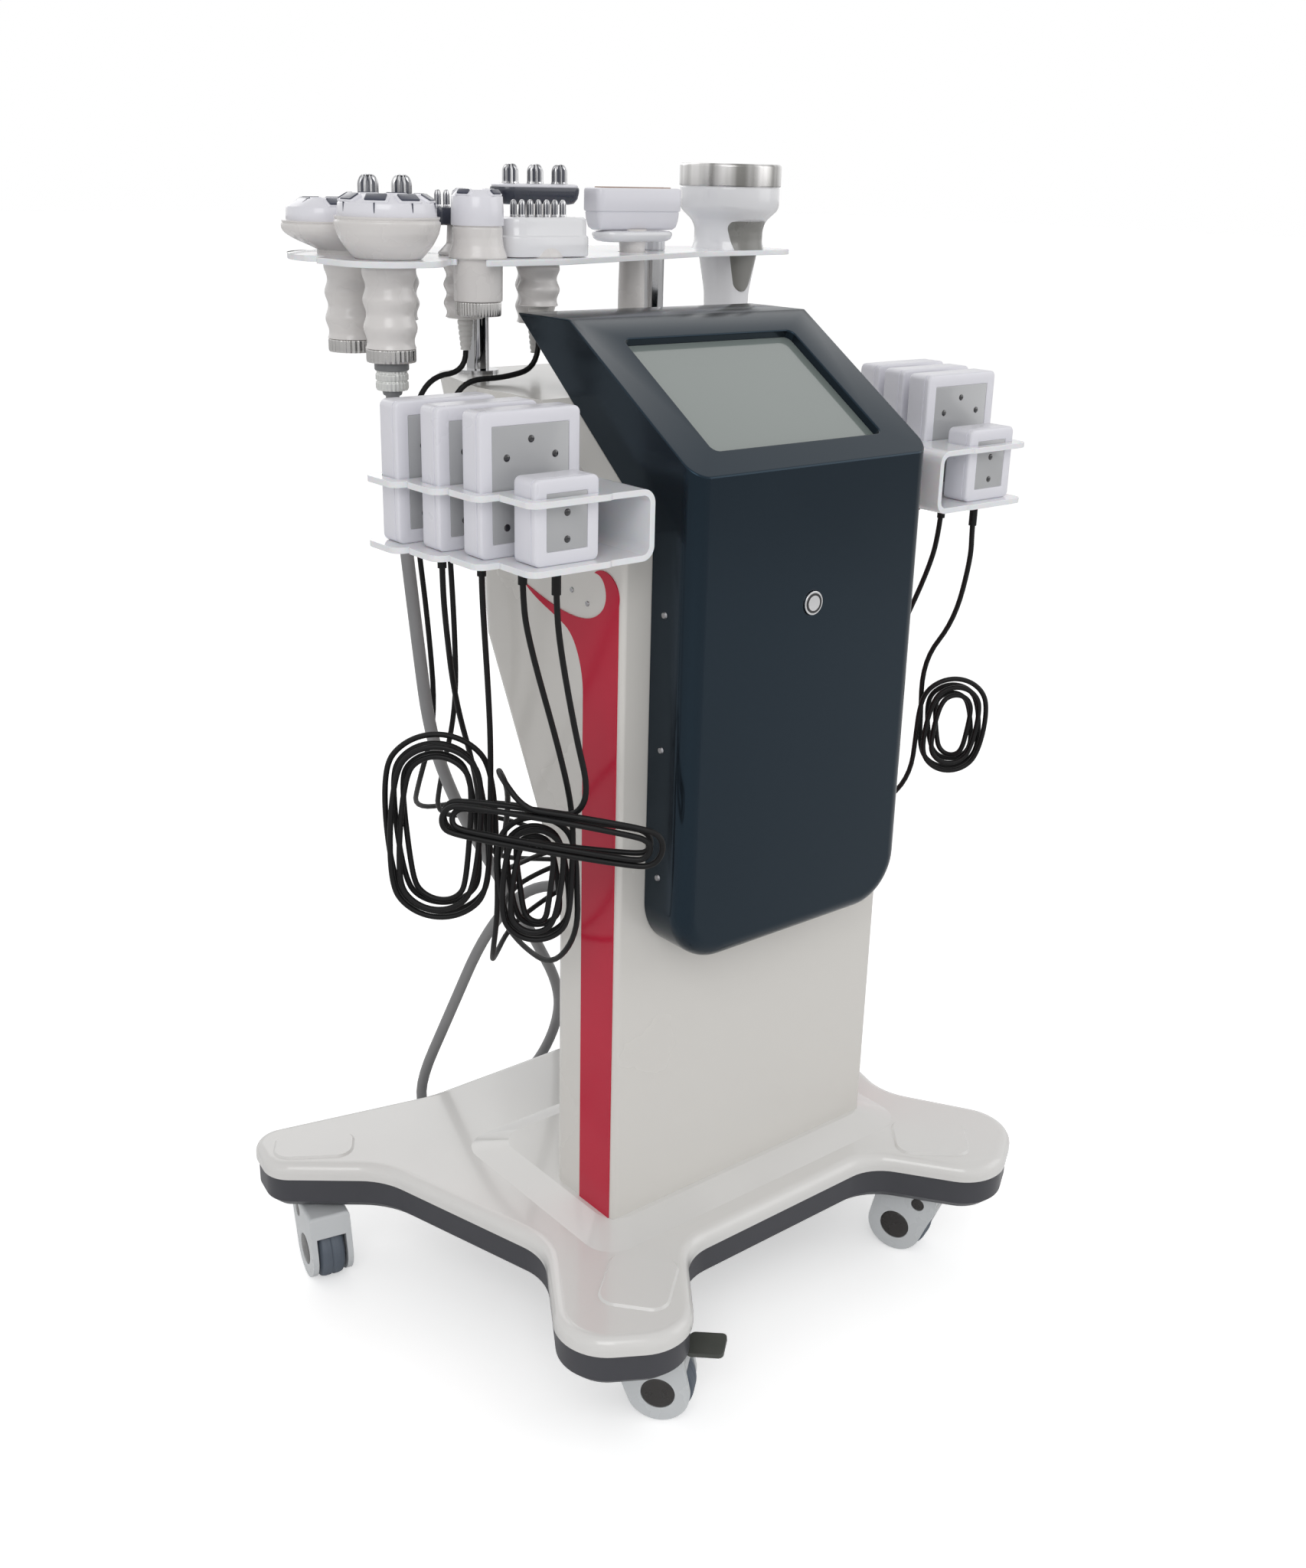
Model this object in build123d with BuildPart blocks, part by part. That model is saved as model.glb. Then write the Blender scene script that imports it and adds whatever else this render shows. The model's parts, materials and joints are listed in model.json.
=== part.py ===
from build123d import *
from math import atan, cos, pi, radians, sin, sqrt, tan
import os

# Skin firming device on a caster base: a column with a sloped touch screen,
# a tray of handpieces on two posts and a bracket of pads on each side.
# Millimetres, X to the right, Y to the back, Z up, Z = 0 on the floor. The column's
# front is drawn first; saved pieces are shifted so that Y = 0 is the footprint's middle.

os.makedirs("parts", exist_ok=True)

# Clearances
fit = 0.1            # running fit, radial
ease = 0.3           # between pieces that only stand beside each other
slot_ease = 1.5      # round a pad or a handle that lifts out
overrun = 5.0        # added to every cut that goes right through

# Middle between the front of the base and the back of the top tray
footprint_middle_y = 29.1

# Base
base_half_width = 446.0
base_half_depth = 312.0
base_outline_shares = [
    (-0.330, -0.638), (-0.535, -1.038), (-0.812, -0.798), (-0.610, -0.326),
    (-0.760, 0.430), (-1.000, 0.700), (-0.969, 0.958), (-0.460, 0.785),
]
base_corner_radii = [60.0, 58.0, 58.0, 70.0, 90.0, 38.0, 33.0, 120.0]
skirt_bottom = 96.0
skirt_height = 44.0
skirt_wall = 4.0
skirt_inset = 3.0
skirt_chamfer = 12.0
cover_edge = 20.0
cover_round = 13.0
cover_wall = 4.0
hump_height = 12.0
hump_spread = 34.0
hump_margin = 6.0
hump_corner = 30.0
arm_panel_rise = 2.5
front_panel_length, front_panel_width = 92.0, 78.0
rear_panel_length, rear_panel_width = 96.0, 56.0
arm_panel_corner = 20.0
arm_panel_taper = 45

# Casters
wheel_diameter = 75.0
wheel_width = 32.0
tyre_round = 7.0
hub_diameter = 44.0
hub_recess = 4.0
axle_diameter = 8.0
wheel_side_gap = 2.0
wheel_top_gap = 3.5
hood_wall = 7.0
hood_floor_gap = 2.5
hood_front, hood_rear = 24.0, 52.0
hood_block = 16.0
hood_round = 5.0
caster_trail = 28.0
stem_diameter = 12.0
stem_flange_diameter = 50.0
stem_flange = 3.0
stem_engagement = 21.0
swivel_gap = 0.5
hub_cap_diameter = 38.0
bolt_cap_diameter = 17.0
cap_recess = 1.5
front_stem_shares = (0.520, -0.702)
rear_stem_shares = (0.857, 0.718)
front_left_heading = 310.0
front_right_heading = 111.0
rear_left_heading = 258.0
rear_right_heading = 285.0
pedal_length, pedal_width, pedal_thickness = 46.0, 36.0, 5.0
pedal_barrel_diameter, pedal_barrel_width = 11.0, 22.0
pedal_pin_diameter = 4.0
pedal_pin_drop, pedal_pin_inset = 8.5, 6.5
pedal_tilt = -6.0
pedal_dip = 3.0
pedal_corner = 6.0

# Steel frame
frame_tube_width = 40.0
frame_tube_height = 24.0
frame_wall = 2.0
hub_width, hub_depth, hub_y = 140.0, 130.0, -62.0
arm_root_y = -40.0
mast_width = 60.0
mast_depth = 30.0

# Column
column_half_width = 198.0
column_front = -128.0
column_wall = 4.0
column_waist_z = 540.0
column_shoulder_z = 800.0
mast_top_gap = 20.0
column_top_z = 1062.0
column_front_radius = 6.0
column_side_radius = 22.0
column_back_radius = 30.0
waist_side_depth, waist_back_half, waist_back_depth = 101.0, 115.0, 211.0
shoulder_side_depth, shoulder_back_half, shoulder_back_depth = 236.0, 120.0, 356.0
top_side_depth, top_back_half, top_back_depth = 251.0, 160.0, 396.0

# Inside the column
supply_width, supply_depth, supply_height = 96.0, 62.0, 170.0
supply_bottom_z = 230.0
supply_terminal_width, supply_terminal_depth, supply_terminal_height = 70.0, 12.0, 10.0
pump_body_diameter, pump_body_length = 62.0, 84.0
pump_head_width, pump_head_depth, pump_head_height = 74.0, 66.0, 44.0
pump_bottom_z = 600.0
pump_foot_thickness = 4.0
pump_port_diameter, pump_port_length = 10.0, 18.0
supply_edge = 2.0

# Rear panel
rear_panel_plate = 3.0
rear_opening_width, rear_opening_height = 150.0, 300.0
rear_lap = 10.0
rear_bottom_z = 212.0
vent_count = 7
vent_width, vent_height, vent_pitch = 90.0, 4.0, 11.0
inlet_width, inlet_height, inlet_depth = 48.0, 28.0, 24.0
inlet_flange = 2.5
inlet_margin = 4.0
inlet_pin_length, inlet_pin_width = 12.0, 4.0
socket_diameter, socket_length, socket_bore = 18.0, 9.0, 11.0
socket_columns, socket_rows = 5, 2
socket_pitch_x, socket_pitch_z = 34.0, 30.0
hose_port_x, hose_port_diameter = -34.0, 20.0

# Front housing with the screen
housing_half_width = 163.0
housing_front = -190.0
housing_bottom_z = 496.0
housing_knee_z = 1010.0
housing_top_z = 1138.0
housing_top_front = 11.0
housing_top_back = 100.0
housing_under_z = 947.0
housing_corner = 60.0
housing_edge = 20.0
screen_width, screen_length = 232.0, 170.0
screen_depth = 12.0
screen_corner = 8.0
glass_thickness = 3.0
glass_ease = 0.3
button_z = 869.0
button_diameter, bezel_diameter = 16.0, 25.0
bezel_depth, bezel_proud = 8.0, 2.0
bezel_floor = 2.0
button_travel = 2.0
housing_screw_heights = [871.0, 731.0, 591.0]
housing_screw_y = -150.0
housing_screw_diameter, housing_screw_height = 7.0, 2.0
screw_head_taper = 20

# Red side stripes
stripe_thickness = 1.2
stripe_front_gap, stripe_width = 6.0, 54.0
stripe_spread_z, stripe_top_z = 780.0, 907.0
stripe_reach = 159.0
stripe_lower_shares = [
    (0.352, 0.000), (0.409, 0.283), (0.509, 0.449), (0.629, 0.520), (0.843, 0.614), (1.000, 0.717),
]
stripe_upper_shares = [
    (1.000, 0.717), (0.843, 0.662), (0.660, 0.610), (0.453, 0.583), (0.226, 0.640),
    (0.132, 0.764), (0.145, 0.921), (0.245, 0.984),
]
stripe_crown_shares = [(0.245, 0.984), (0.157, 1.020), (0.050, 0.969), (0.000, 0.780)]

# Top tray on its posts
tray_top_z = 1190.0
tray_thickness = 6.0
post_x, post_y = 125.0, 232.0
post_diameter = 25.0
post_flange_diameter, post_flange = 46.0, 4.0
knob_diameter, knob_height, knob_round = 26.0, 22.0, 3.2
tray_left, tray_right = -346.0, 334.0
tray_front, tray_back = 86.0, 362.0
tray_outline_shares = [
    (0.000, 0.000), (0.124, 0.007), (0.179, 0.145), (0.209, 0.014), (0.350, 0.022),
    (0.756, 0.377), (1.000, 0.435), (1.000, 0.710), (0.740, 0.938), (0.229, 1.000),
    (0.010, 0.884), (0.010, 0.475), (0.035, 0.420), (0.000, 0.366),
]
tray_corner_radii = [
    50.0, 30.0, 4.0, 6.0, 60.0, 200.0, 28.0, 40.0, 60.0, 60.0, 50.0, 12.0, 8.0, 12.0,
]
face_slot_mouth, face_slot_angle = 32.0, 225.0

# Handpieces: place on the tray, and radii with heights above the tray
hole_ease = 1.5
seat_radius = 33.0
vacuum_place = (-288.0, 143.0)
vacuum_body = [(27.0, 0.0), (seat_radius, 0.0), (49.0, 22.0), (52.5, 32.0), (52.5, 40.0)]
vacuum_crown_diameter, vacuum_crown_wall, vacuum_crown_height = 98.0, 18.0, 23.0
vacuum_electrode_count = 8
electrode_length, electrode_width, electrode_rise = 21.0, 11.0, 3.0
grip_radius, grip_swell = 25.5, 1.6
grip_bottom, grip_waves = -86.0, 3
ring_radius, ring_height = 24.5, 14.0
collar_radius, collar_height = 17.5, 8.0
nut_radius, nut_height = 17.0, 20.0
wide_place = (-272.0, 250.0)
wide_head_length, wide_head_width, wide_head_corner = 140.0, 84.0, 38.0
wide_crown_inset, wide_crown_wall = 5.0, 17.0
wide_flare_bottom, wide_flare_height, wide_rim_height, wide_crown_height = 4.0, 24.0, 8.0, 24.0
wide_electrode_x, wide_electrode_y = 51.0, 29.0
wide_electrode_pitch = 28.0
face_place = (-190.0, 131.0)
face_body = [(25.0, -42.0), (25.5, 0.0), (30.0, 0.0), (30.0, 7.0), (25.5, 12.0), (25.5, 32.0)]
face_crown_diameter, face_crown_wall, face_crown_height = 54.0, 10.0, 36.0
face_electrode_count, face_electrode_length, face_electrode_width = 4, 14.0, 6.0
face_ring_radius, face_ring_height = 23.0, 15.0
socket_radius, socket_depth = 9.0, 10.0
probe_radius, probe_swell, probe_bottom = 21.0, 1.6, -76.0
probe_waves = 3
probe_neck = [(22.0, 0.0), (27.5, 0.0), (27.5, 4.0), (18.5, 16.0), (20.0, 38.0), (17.5, 51.0)]
short_neck = [(22.0, 0.0), (27.5, 0.0), (27.5, 4.0), (18.5, 12.0), (17.5, 31.0)]
short_neck_height = 30.0
relief_top, relief_tip, relief_length = 9.0, 5.5, 34.0
body_place, rear_place = (-53.0, 223.0), (-176.0, 312.0)
probe_head_length, probe_head_width, probe_head_corner = 100.0, 36.0, 14.0
probe_neck_height, probe_plate_height, probe_deck_height = 50.0, 18.0, 3.0
probe_deck_inset = 2.0
tip_count, tip_pitch = 3, 33.0
tip_radius, tip_height = 9.0, 21.0
row_place = (-109.0, 138.0)
row_head_length, row_head_width, row_head_corner = 96.0, 44.0, 21.0
row_neck = [(22.0, 0.0), (27.5, 0.0), (20.0, 15.0)]
row_neck_height, row_head_height, row_head_round = 14.0, 26.0, 4.0
row_tip_count, row_tip_pitch, row_tip_radius, row_tip_height = 7, 10.5, 3.6, 17.0
row_probe_bottom = -50.0
side_place = (-170.0, 187.0)
side_head_length, side_head_width, side_head_corner = 78.0, 26.0, 8.5
side_probe_bottom = -64.0
plate_place = (69.0, 203.0)
plate_head_length, plate_head_width, plate_head_corner = 122.0, 34.0, 8.0
plate_neck = [(14.5, -80.0), (15.5, -40.0), (14.5, 0.0), (21.0, 0.0), (21.0, 3.0), (16.5, 25.0)]
plate_neck_height, plate_head_height, plate_head_round = 24.0, 45.0, 3.0
plate_electrode_length, plate_electrode_width, plate_electrode_rise = 100.0, 4.0, 1.0
plate_electrode_pitch = 12.0
cavitation_place = (256.0, 248.0)
cavitation_body = [
    (20.0, -90.0), (26.0, -84.0), (28.0, -50.0), (37.0, 0.0), (45.0, 0.0), (42.0, 8.0),
    (42.0, 30.0), (60.0, 46.0), (61.0, 72.0),
]
cavitation_disc_radius, cavitation_disc_height = 62.0, 26.0
tongue_top, tongue_bottom = 26.0, -44.0
tongue_top_half, tongue_bottom_half, tongue_depth = 26.0, 12.0, 2.5

# Side trays
bracket_wall = 6.0
bracket_top_z = 1003.0
bracket_height = 68.0
bracket_bend = 14.0
bracket_front = -174.0
bracket_back = 56.0
bracket_bed = 98.0
bracket_lip = 11.0
bracket_corner = 12.0
pad_width, pad_height, pad_thickness = 112.0, 133.0, 30.0
pad_round = 6.0
pad_edge = 3.0
large_pad_count = 3
pad_pitch = 50.0
pad_stagger = 13.0
pad_first_y = -97.0
pad_first_x = -295.0
small_pad_width, small_pad_height, small_pad_thickness = 72.0, 79.0, 34.0
small_pad_x, small_pad_y = -292.0, -147.0
window_inset, window_depth = 13.0, 1.0
lens_diameter = 7.0
lens_depth = 1.0
nub_diameter, nub_length = 9.0, 12.0
nub_hole = 13.0

# Routes of the cables between their ends
small_pad_run = [(-290.0, -150.0, 860.0), (-275.0, -156.0, 770.0), (-262.0, -161.0, 712.0)]
pad_1_run = [(-292.0, -99.0, 860.0), (-264.0, -118.0, 735.0)]
pad_2_run = [(-306.0, -46.0, 870.0), (-296.0, -38.0, 790.0)]
pad_3_run = [
    (-315.0, 10.0, 860.0), (-290.0, 34.0, 760.0), (-250.0, 55.0, 660.0), (-224.0, 88.0, 570.0),
    (-178.0, 122.0, 524.0), (-100.0, 158.0, 490.0),
]
level_hank_run = [
    (-324.0, -100.0, 722.0), (-300.0, -60.0, 715.0), (-262.0, -25.0, 670.0),
    (-240.0, 20.0, 590.0), (-222.0, 70.0, 530.0), (-170.0, 112.0, 512.0), (-90.0, 140.0, 506.0),
]
upright_hank_run = [
    (-246.0, -80.0, 485.0), (-228.0, 0.0, 470.0), (-218.0, 60.0, 480.0),
    (-175.0, 106.0, 488.0), (-110.0, 118.0, 495.0),
]
left_hank_run = [
    (-270.0, 0.0, 470.0), (-228.0, 60.0, 432.0), (-172.0, 108.0, 440.0), (-110.0, 124.0, 452.0),
]
right_small_pad_run = [(296.0, -146.0, 870.0), (306.0, -122.0, 790.0)]
right_hank_run = [
    (280.0, -40.0, 530.0), (248.0, 40.0, 470.0), (210.0, 110.0, 440.0), (140.0, 150.0, 440.0),
]
right_pad_1_run = [
    (290.0, -92.0, 850.0), (262.0, -52.0, 720.0), (244.0, 10.0, 610.0), (226.0, 84.0, 520.0),
    (160.0, 140.0, 500.0),
]
right_pad_2_run = [
    (302.0, -38.0, 850.0), (270.0, 20.0, 720.0), (246.0, 90.0, 600.0), (200.0, 165.0, 525.0),
    (110.0, 190.0, 505.0),
]
row_probe_run = [
    (-109.0, 138.0, 1077.0), (-150.0, 141.0, 1067.0), (-203.0, 146.0, 1067.0),
    (-222.0, 146.0, 1025.0), (-230.0, 136.0, 930.0), (-240.0, 110.0, 820.0),
    (-238.0, 112.0, 720.0), (-228.0, 165.0, 620.0), (-205.0, 215.0, 550.0),
    (-110.0, 245.0, 525.0),
]
side_probe_run = [
    (-170.0, 187.0, 1070.0), (-215.0, 193.0, 1066.0), (-240.0, 190.0, 1020.0),
    (-246.0, 176.0, 920.0), (-254.0, 140.0, 810.0), (-250.0, 136.0, 700.0),
    (-250.0, 175.0, 620.0), (-215.0, 250.0, 550.0), (-110.0, 285.0, 530.0),
]
hose_run = [
    (-288.0, 143.0, 1000.0), (-290.0, 124.0, 915.0), (-281.0, 120.0, 807.0),
    (-267.0, 122.0, 692.0), (-225.0, 140.0, 599.0), (-175.0, 160.0, 519.0),
    (-136.0, 175.0, 460.0), (-76.0, 198.0, 365.0), (-7.0, 232.0, 255.0), (36.0, 300.0, 150.0),
    (22.0, 340.0, 66.0), (-60.0, 352.0, 24.0), (-140.0, 346.0, 44.0), (-176.0, 330.0, 110.0),
    (-141.0, 292.0, 238.0), (-108.0, 262.0, 350.0), (-70.0, 225.0, 420.0),
]
hose_entry_y = 170.0
# Distances that a cable runs straight on beside a hank or out of a socket
small_pad_lead_in, pad_1_lead_in, pad_2_lead_in, right_lead_in = 14.0, 70.0, 90.0, 80.0
level_lead_out, upright_lead_out, left_lead_out, right_lead_out = 28.0, 60.0, 90.0, 70.0
pad_3_bulge, level_bulge, upright_bulge, left_bulge = 90.0, 50.0, 30.0, 36.0
right_bulge, right_pad_1_bulge, right_pad_2_bulge = 60.0, 45.0, 85.0
row_probe_bulge, side_probe_bulge = 150.0, 190.0

# Cables and the hose
cable_diameter, hose_diameter = 6.0, 14.0
bend_share = 0.45
nub_drop = 26.0
hank_right_way = (0.77, -0.64)
upright_hank = {
    "centre": (-285.0, -102.0, 600.0), "long": 66.0, "wide": 37.0,
    "turns": 2, "pitch": 8.0, "tilt": 90.0, "side": -1,
}
level_hank = {
    "centre": (-289.0, -134.0, 669.0), "long": 109.0, "wide": 19.0,
    "turns": 1, "pitch": 10.8, "tilt": -7.5, "side": 1,
}
left_hank = {
    "centre": (-335.0, 0.0, 635.0), "long": 100.0, "wide": 54.0,
    "turns": 2, "pitch": 8.0, "tilt": 90.0, "side": -1,
}
right_hank = {
    "centre": (326.0, -115.0, 655.0), "long": 58.0, "wide": 38.0,
    "turns": 2, "pitch": 7.8, "tilt": 90.0, "side": 1,
}


def save(part, name):
    """Write a finished piece as one STEP file, with the origin in the middle of the footprint."""
    piece = part.moved(Location((0, -footprint_middle_y, 0)))
    piece.label = name
    export_step(piece, f"parts/{name}.step")


def mirrored(points):
    """The left half of an outline, then its mirror image on the right."""
    return points + [(-x, y) for x, y in reversed(points)]


# Levels that follow from the sizes above
skirt_top = skirt_bottom + skirt_height
cover_top = skirt_top + cover_edge
column_bottom = cover_top + hump_height
floor_top = skirt_bottom + skirt_wall
frame_top = floor_top + frame_tube_height
wheel_radius = wheel_diameter / 2
tray_bottom_z = tray_top_z - tray_thickness
shelf_z = bracket_top_z - bracket_height + bracket_wall
column_back = column_front + waist_back_depth
mast_top_z = housing_under_z - mast_top_gap


def base_outline(inset):
    """Plan of the base, drawn in by inset all round."""
    points = [(x * base_half_width, y * base_half_depth) for x, y in base_outline_shares]
    with BuildSketch() as plan:
        with BuildLine():
            FilletPolyline(
                *mirrored(points),
                radius=base_corner_radii + base_corner_radii[::-1],
                close=True,
            )
        make_face()
        if inset:
            offset(amount=-inset, kind=Kind.INTERSECTION)
    return plan.sketch


front_stem_x = front_stem_shares[0] * base_half_width
front_stem_y = front_stem_shares[1] * base_half_depth
rear_stem_x = rear_stem_shares[0] * base_half_width
rear_stem_y = rear_stem_shares[1] * base_half_depth
stem_places = [
    ("front_left", -front_stem_x, front_stem_y, front_left_heading),
    ("front_right", front_stem_x, front_stem_y, front_right_heading),
    ("rear_left", -rear_stem_x, rear_stem_y, rear_left_heading),
    ("rear_right", rear_stem_x, rear_stem_y, rear_right_heading),
]
stem_points = [(x, y) for _, x, y, _ in stem_places]

# Charcoal skirt: an open tray whose lower edge is bevelled
with BuildPart() as base_skirt:
    with BuildSketch(Plane.XY.offset(skirt_bottom)):
        add(base_outline(skirt_inset))
    extrude(amount=skirt_height)
    chamfer(base_skirt.edges().group_by(Axis.Z)[0], skirt_chamfer)
    with BuildSketch(Plane.XY.offset(floor_top)):
        add(base_outline(skirt_inset + skirt_wall + skirt_chamfer))
    extrude(amount=skirt_height, mode=Mode.SUBTRACT)
    with Locations(*[(x, y, skirt_bottom) for x, y in stem_points]):
        Hole(stem_diameter / 2 + ease, depth=skirt_height)
save(base_skirt.part, "base_skirt")

# Steel frame: a tube to each caster, a hub plate and the mast of the column
mast_y = column_front + column_wall + mast_depth / 2
with BuildPart() as base_frame:
    for x, y in stem_points:
        heading = Vector(x, y - arm_root_y, 0)
        arm_plane = Plane(
            origin=(0, arm_root_y, floor_top + frame_tube_height / 2), z_dir=heading, x_dir=(0, 0, 1)
        )
        with BuildSketch(arm_plane):
            Rectangle(frame_tube_height, frame_tube_width)
        extrude(amount=heading.length + stem_diameter)
    with BuildSketch(Plane.XY.offset(floor_top)):
        with Locations((0, hub_y)):
            Rectangle(hub_width, hub_depth)
    extrude(amount=frame_tube_height)
    with BuildSketch(Plane.XY.offset(frame_top)):
        with Locations((0, mast_y)):
            Rectangle(mast_width, mast_depth)
            offset(amount=-frame_wall, mode=Mode.SUBTRACT)
    extrude(amount=mast_top_z - frame_top)
save(base_frame.part, "base_frame")

# White gloss cover over the arms, with a low hump that carries the column
hump_half_x = column_half_width + hump_margin
hump_front = column_front - hump_margin
hump_back = column_back + hump_margin
hump_middle = (hump_front + hump_back) / 2
hump_half_y = (hump_back - hump_front) / 2
with BuildPart() as base_cover:
    with BuildSketch(Plane.XY.offset(skirt_top)):
        add(base_outline(0))
    extrude(amount=cover_edge)
    fillet(base_cover.edges().group_by(Axis.Z)[-1], cover_round)
    with BuildSketch(Plane.XY.offset(cover_top)):
        with Locations((0, hump_middle)):
            RectangleRounded(
                2 * (hump_half_x + hump_spread), 2 * (hump_half_y + hump_spread),
                hump_corner + hump_margin,
            )
    with BuildSketch(Plane.XY.offset(column_bottom)):
        with Locations((0, hump_middle)):
            RectangleRounded(2 * hump_half_x, 2 * hump_half_y, hump_corner)
    loft()
    for name, x, y, _ in stem_places:
        front = name.startswith("front")
        panel_length = front_panel_length if front else rear_panel_length
        panel_width = front_panel_width if front else rear_panel_width
        panel_plane = Plane(
            origin=(x, y, cover_top), x_dir=(x, y - hump_middle, 0), z_dir=(0, 0, 1)
        )
        with BuildSketch(panel_plane):
            RectangleRounded(panel_length, panel_width, arm_panel_corner)
        extrude(amount=arm_panel_rise, taper=arm_panel_taper)
    with BuildSketch(Plane.XY.offset(skirt_top)):
        add(base_outline(cover_round))
    extrude(amount=cover_edge - cover_wall, mode=Mode.SUBTRACT)
    with BuildSketch(Plane.XY.offset(skirt_top)):
        with Locations((0, mast_y)):
            Rectangle(mast_width + 2 * ease, mast_depth + 2 * ease)
    extrude(amount=cover_edge + hump_height + overrun, mode=Mode.SUBTRACT)
save(base_cover.part, "base_cover")

# Swivel stems with their flanges, fixed under the skirt
with BuildPart() as caster_stems:
    with BuildSketch(Plane.XY.offset(skirt_bottom - stem_flange)):
        with Locations(*stem_points):
            Circle(stem_flange_diameter / 2)
    extrude(amount=stem_flange)
    with BuildSketch(Plane.XY.offset(skirt_bottom - stem_flange - stem_engagement)):
        with Locations(*stem_points):
            Circle(stem_diameter / 2)
    extrude(amount=stem_engagement + stem_flange + skirt_wall)
save(caster_stems.part, "caster_stems")


# Casters: each hood turns on its stem and straddles a wheel on its axle
hood_top = skirt_bottom - stem_flange - swivel_gap
slot_half = wheel_width / 2 + wheel_side_gap
hood_half = slot_half + hood_wall
hood_radius = wheel_radius - hood_floor_gap
pin_x = hood_rear - pedal_pin_inset
pin_z = hood_top - pedal_pin_drop


def caster_plane(x, y, heading):
    """Side view of a caster: its x axis points from the stem to the wheel."""
    angle = radians(heading)
    outward = Vector(cos(angle), sin(angle), 0)
    return Plane(origin=(x, y, 0), x_dir=outward, z_dir=outward.cross(Vector(0, 0, 1)))


for name, x, y, heading in stem_places:
    side = caster_plane(x, y, heading)
    with BuildPart() as hood:
        with BuildSketch(side):
            with Locations((caster_trail, wheel_radius)):
                Circle(hood_radius)
            with Locations(((hood_rear - hood_front) / 2, hood_top - hood_block / 2)):
                Rectangle(hood_rear + hood_front, hood_block)
            make_hull()
        extrude(amount=hood_half, both=True)
        fillet(hood.faces().sort_by(Axis.Z)[-1].edges(), hood_round)
        # wheel well, open below and at both ends
        with BuildSketch(side):
            with Locations((caster_trail, wheel_radius)):
                Circle(wheel_radius + wheel_top_gap)
            with Locations((caster_trail, 0)):
                Rectangle(2 * (wheel_radius + wheel_top_gap), wheel_diameter)
        extrude(amount=slot_half, both=True, mode=Mode.SUBTRACT)
        # axle across the well
        with BuildSketch(side):
            with Locations((caster_trail, wheel_radius)):
                Circle(axle_diameter / 2)
        extrude(amount=slot_half + hood_wall / 2, both=True)
        # shallow seats of the hub cap and the bolt cap on each side
        for sign in (1, -1):
            with BuildSketch(side.offset(sign * (hood_half - cap_recess))):
                with Locations((caster_trail, wheel_radius)):
                    Circle(hub_cap_diameter / 2)
                with Locations((0, hood_top - hood_block)):
                    Circle(bolt_cap_diameter / 2)
            extrude(amount=sign * (cap_recess + overrun), mode=Mode.SUBTRACT)
        # socket of the stem
        with Locations((x, y, hood_top)):
            Hole(stem_diameter / 2 + fit, depth=stem_engagement - swivel_gap + ease)
        if name.startswith("front"):
            # notch and pin of the brake pedal
            with BuildSketch(side):
                with Locations((pin_x, pin_z)):
                    Circle(pedal_barrel_diameter / 2 + ease)
                with Locations((hood_rear, pin_z + pedal_pin_drop)):
                    Rectangle(
                        2 * pedal_pin_inset + pedal_barrel_diameter, 2 * (pedal_pin_drop + pedal_dip)
                    )
            extrude(amount=pedal_barrel_width / 2 + ease, both=True, mode=Mode.SUBTRACT)
            with BuildSketch(side):
                with Locations((pin_x, pin_z)):
                    Circle(pedal_pin_diameter / 2)
            extrude(amount=pedal_barrel_width / 2 + hood_wall / 2, both=True)
    save(hood.part, f"caster_hood_{name}")

    with BuildPart() as wheel:
        with BuildSketch(side):
            with Locations((caster_trail, wheel_radius)):
                Circle(wheel_radius)
        extrude(amount=wheel_width / 2, both=True)
        fillet(wheel.edges().filter_by(GeomType.CIRCLE), tyre_round)
        for sign in (1, -1):
            with BuildSketch(side.offset(sign * wheel_width / 2)):
                with Locations((caster_trail, wheel_radius)):
                    Circle(hub_diameter / 2)
            extrude(amount=-sign * hub_recess, mode=Mode.SUBTRACT)
        with BuildSketch(side):
            with Locations((caster_trail, wheel_radius)):
                Circle(axle_diameter / 2 + fit)
        extrude(amount=wheel_width, both=True, mode=Mode.SUBTRACT)
    save(wheel.part, f"caster_wheel_{name}")

    if name.startswith("front"):
        tilt = radians(pedal_tilt)
        reach = pedal_barrel_diameter / 2 + pedal_length
        with BuildPart() as pedal:
            with BuildSketch(side):
                with Locations((pin_x, pin_z)):
                    Circle(pedal_barrel_diameter / 2)
                    with Locations(Location((0, 0), -pedal_tilt)):
                        with Locations((reach / 2, pedal_barrel_diameter / 2 - pedal_thickness / 2)):
                            Rectangle(reach, pedal_thickness)
            extrude(amount=pedal_barrel_width / 2, both=True)
            tread = Plane(
                origin=side.from_local_coords(
                    (pin_x + reach * cos(tilt) / 2, pin_z - reach * sin(tilt) / 2, 0)
                ),
                x_dir=side.x_dir * cos(tilt) - Vector(0, 0, sin(tilt)),
                z_dir=side.x_dir * sin(tilt) + Vector(0, 0, cos(tilt)),
            )
            with BuildSketch(tread.offset(pedal_barrel_diameter / 2 - pedal_thickness)):
                with Locations((pedal_barrel_diameter / 2, 0)):
                    RectangleRounded(reach - pedal_barrel_diameter, pedal_width, pedal_corner)
            extrude(amount=pedal_thickness)
            with BuildSketch(side):
                with Locations((pin_x, pin_z)):
                    Circle(pedal_pin_diameter / 2 + fit)
            extrude(amount=pedal_width, both=True, mode=Mode.SUBTRACT)
        save(pedal.part, f"brake_pedal_{name}")

# Column: a shell that is slim at the waist and deepens towards the top
under_slope = (housing_top_z - housing_under_z) / (housing_top_back - column_front)
under_angle = atan(under_slope)


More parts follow.
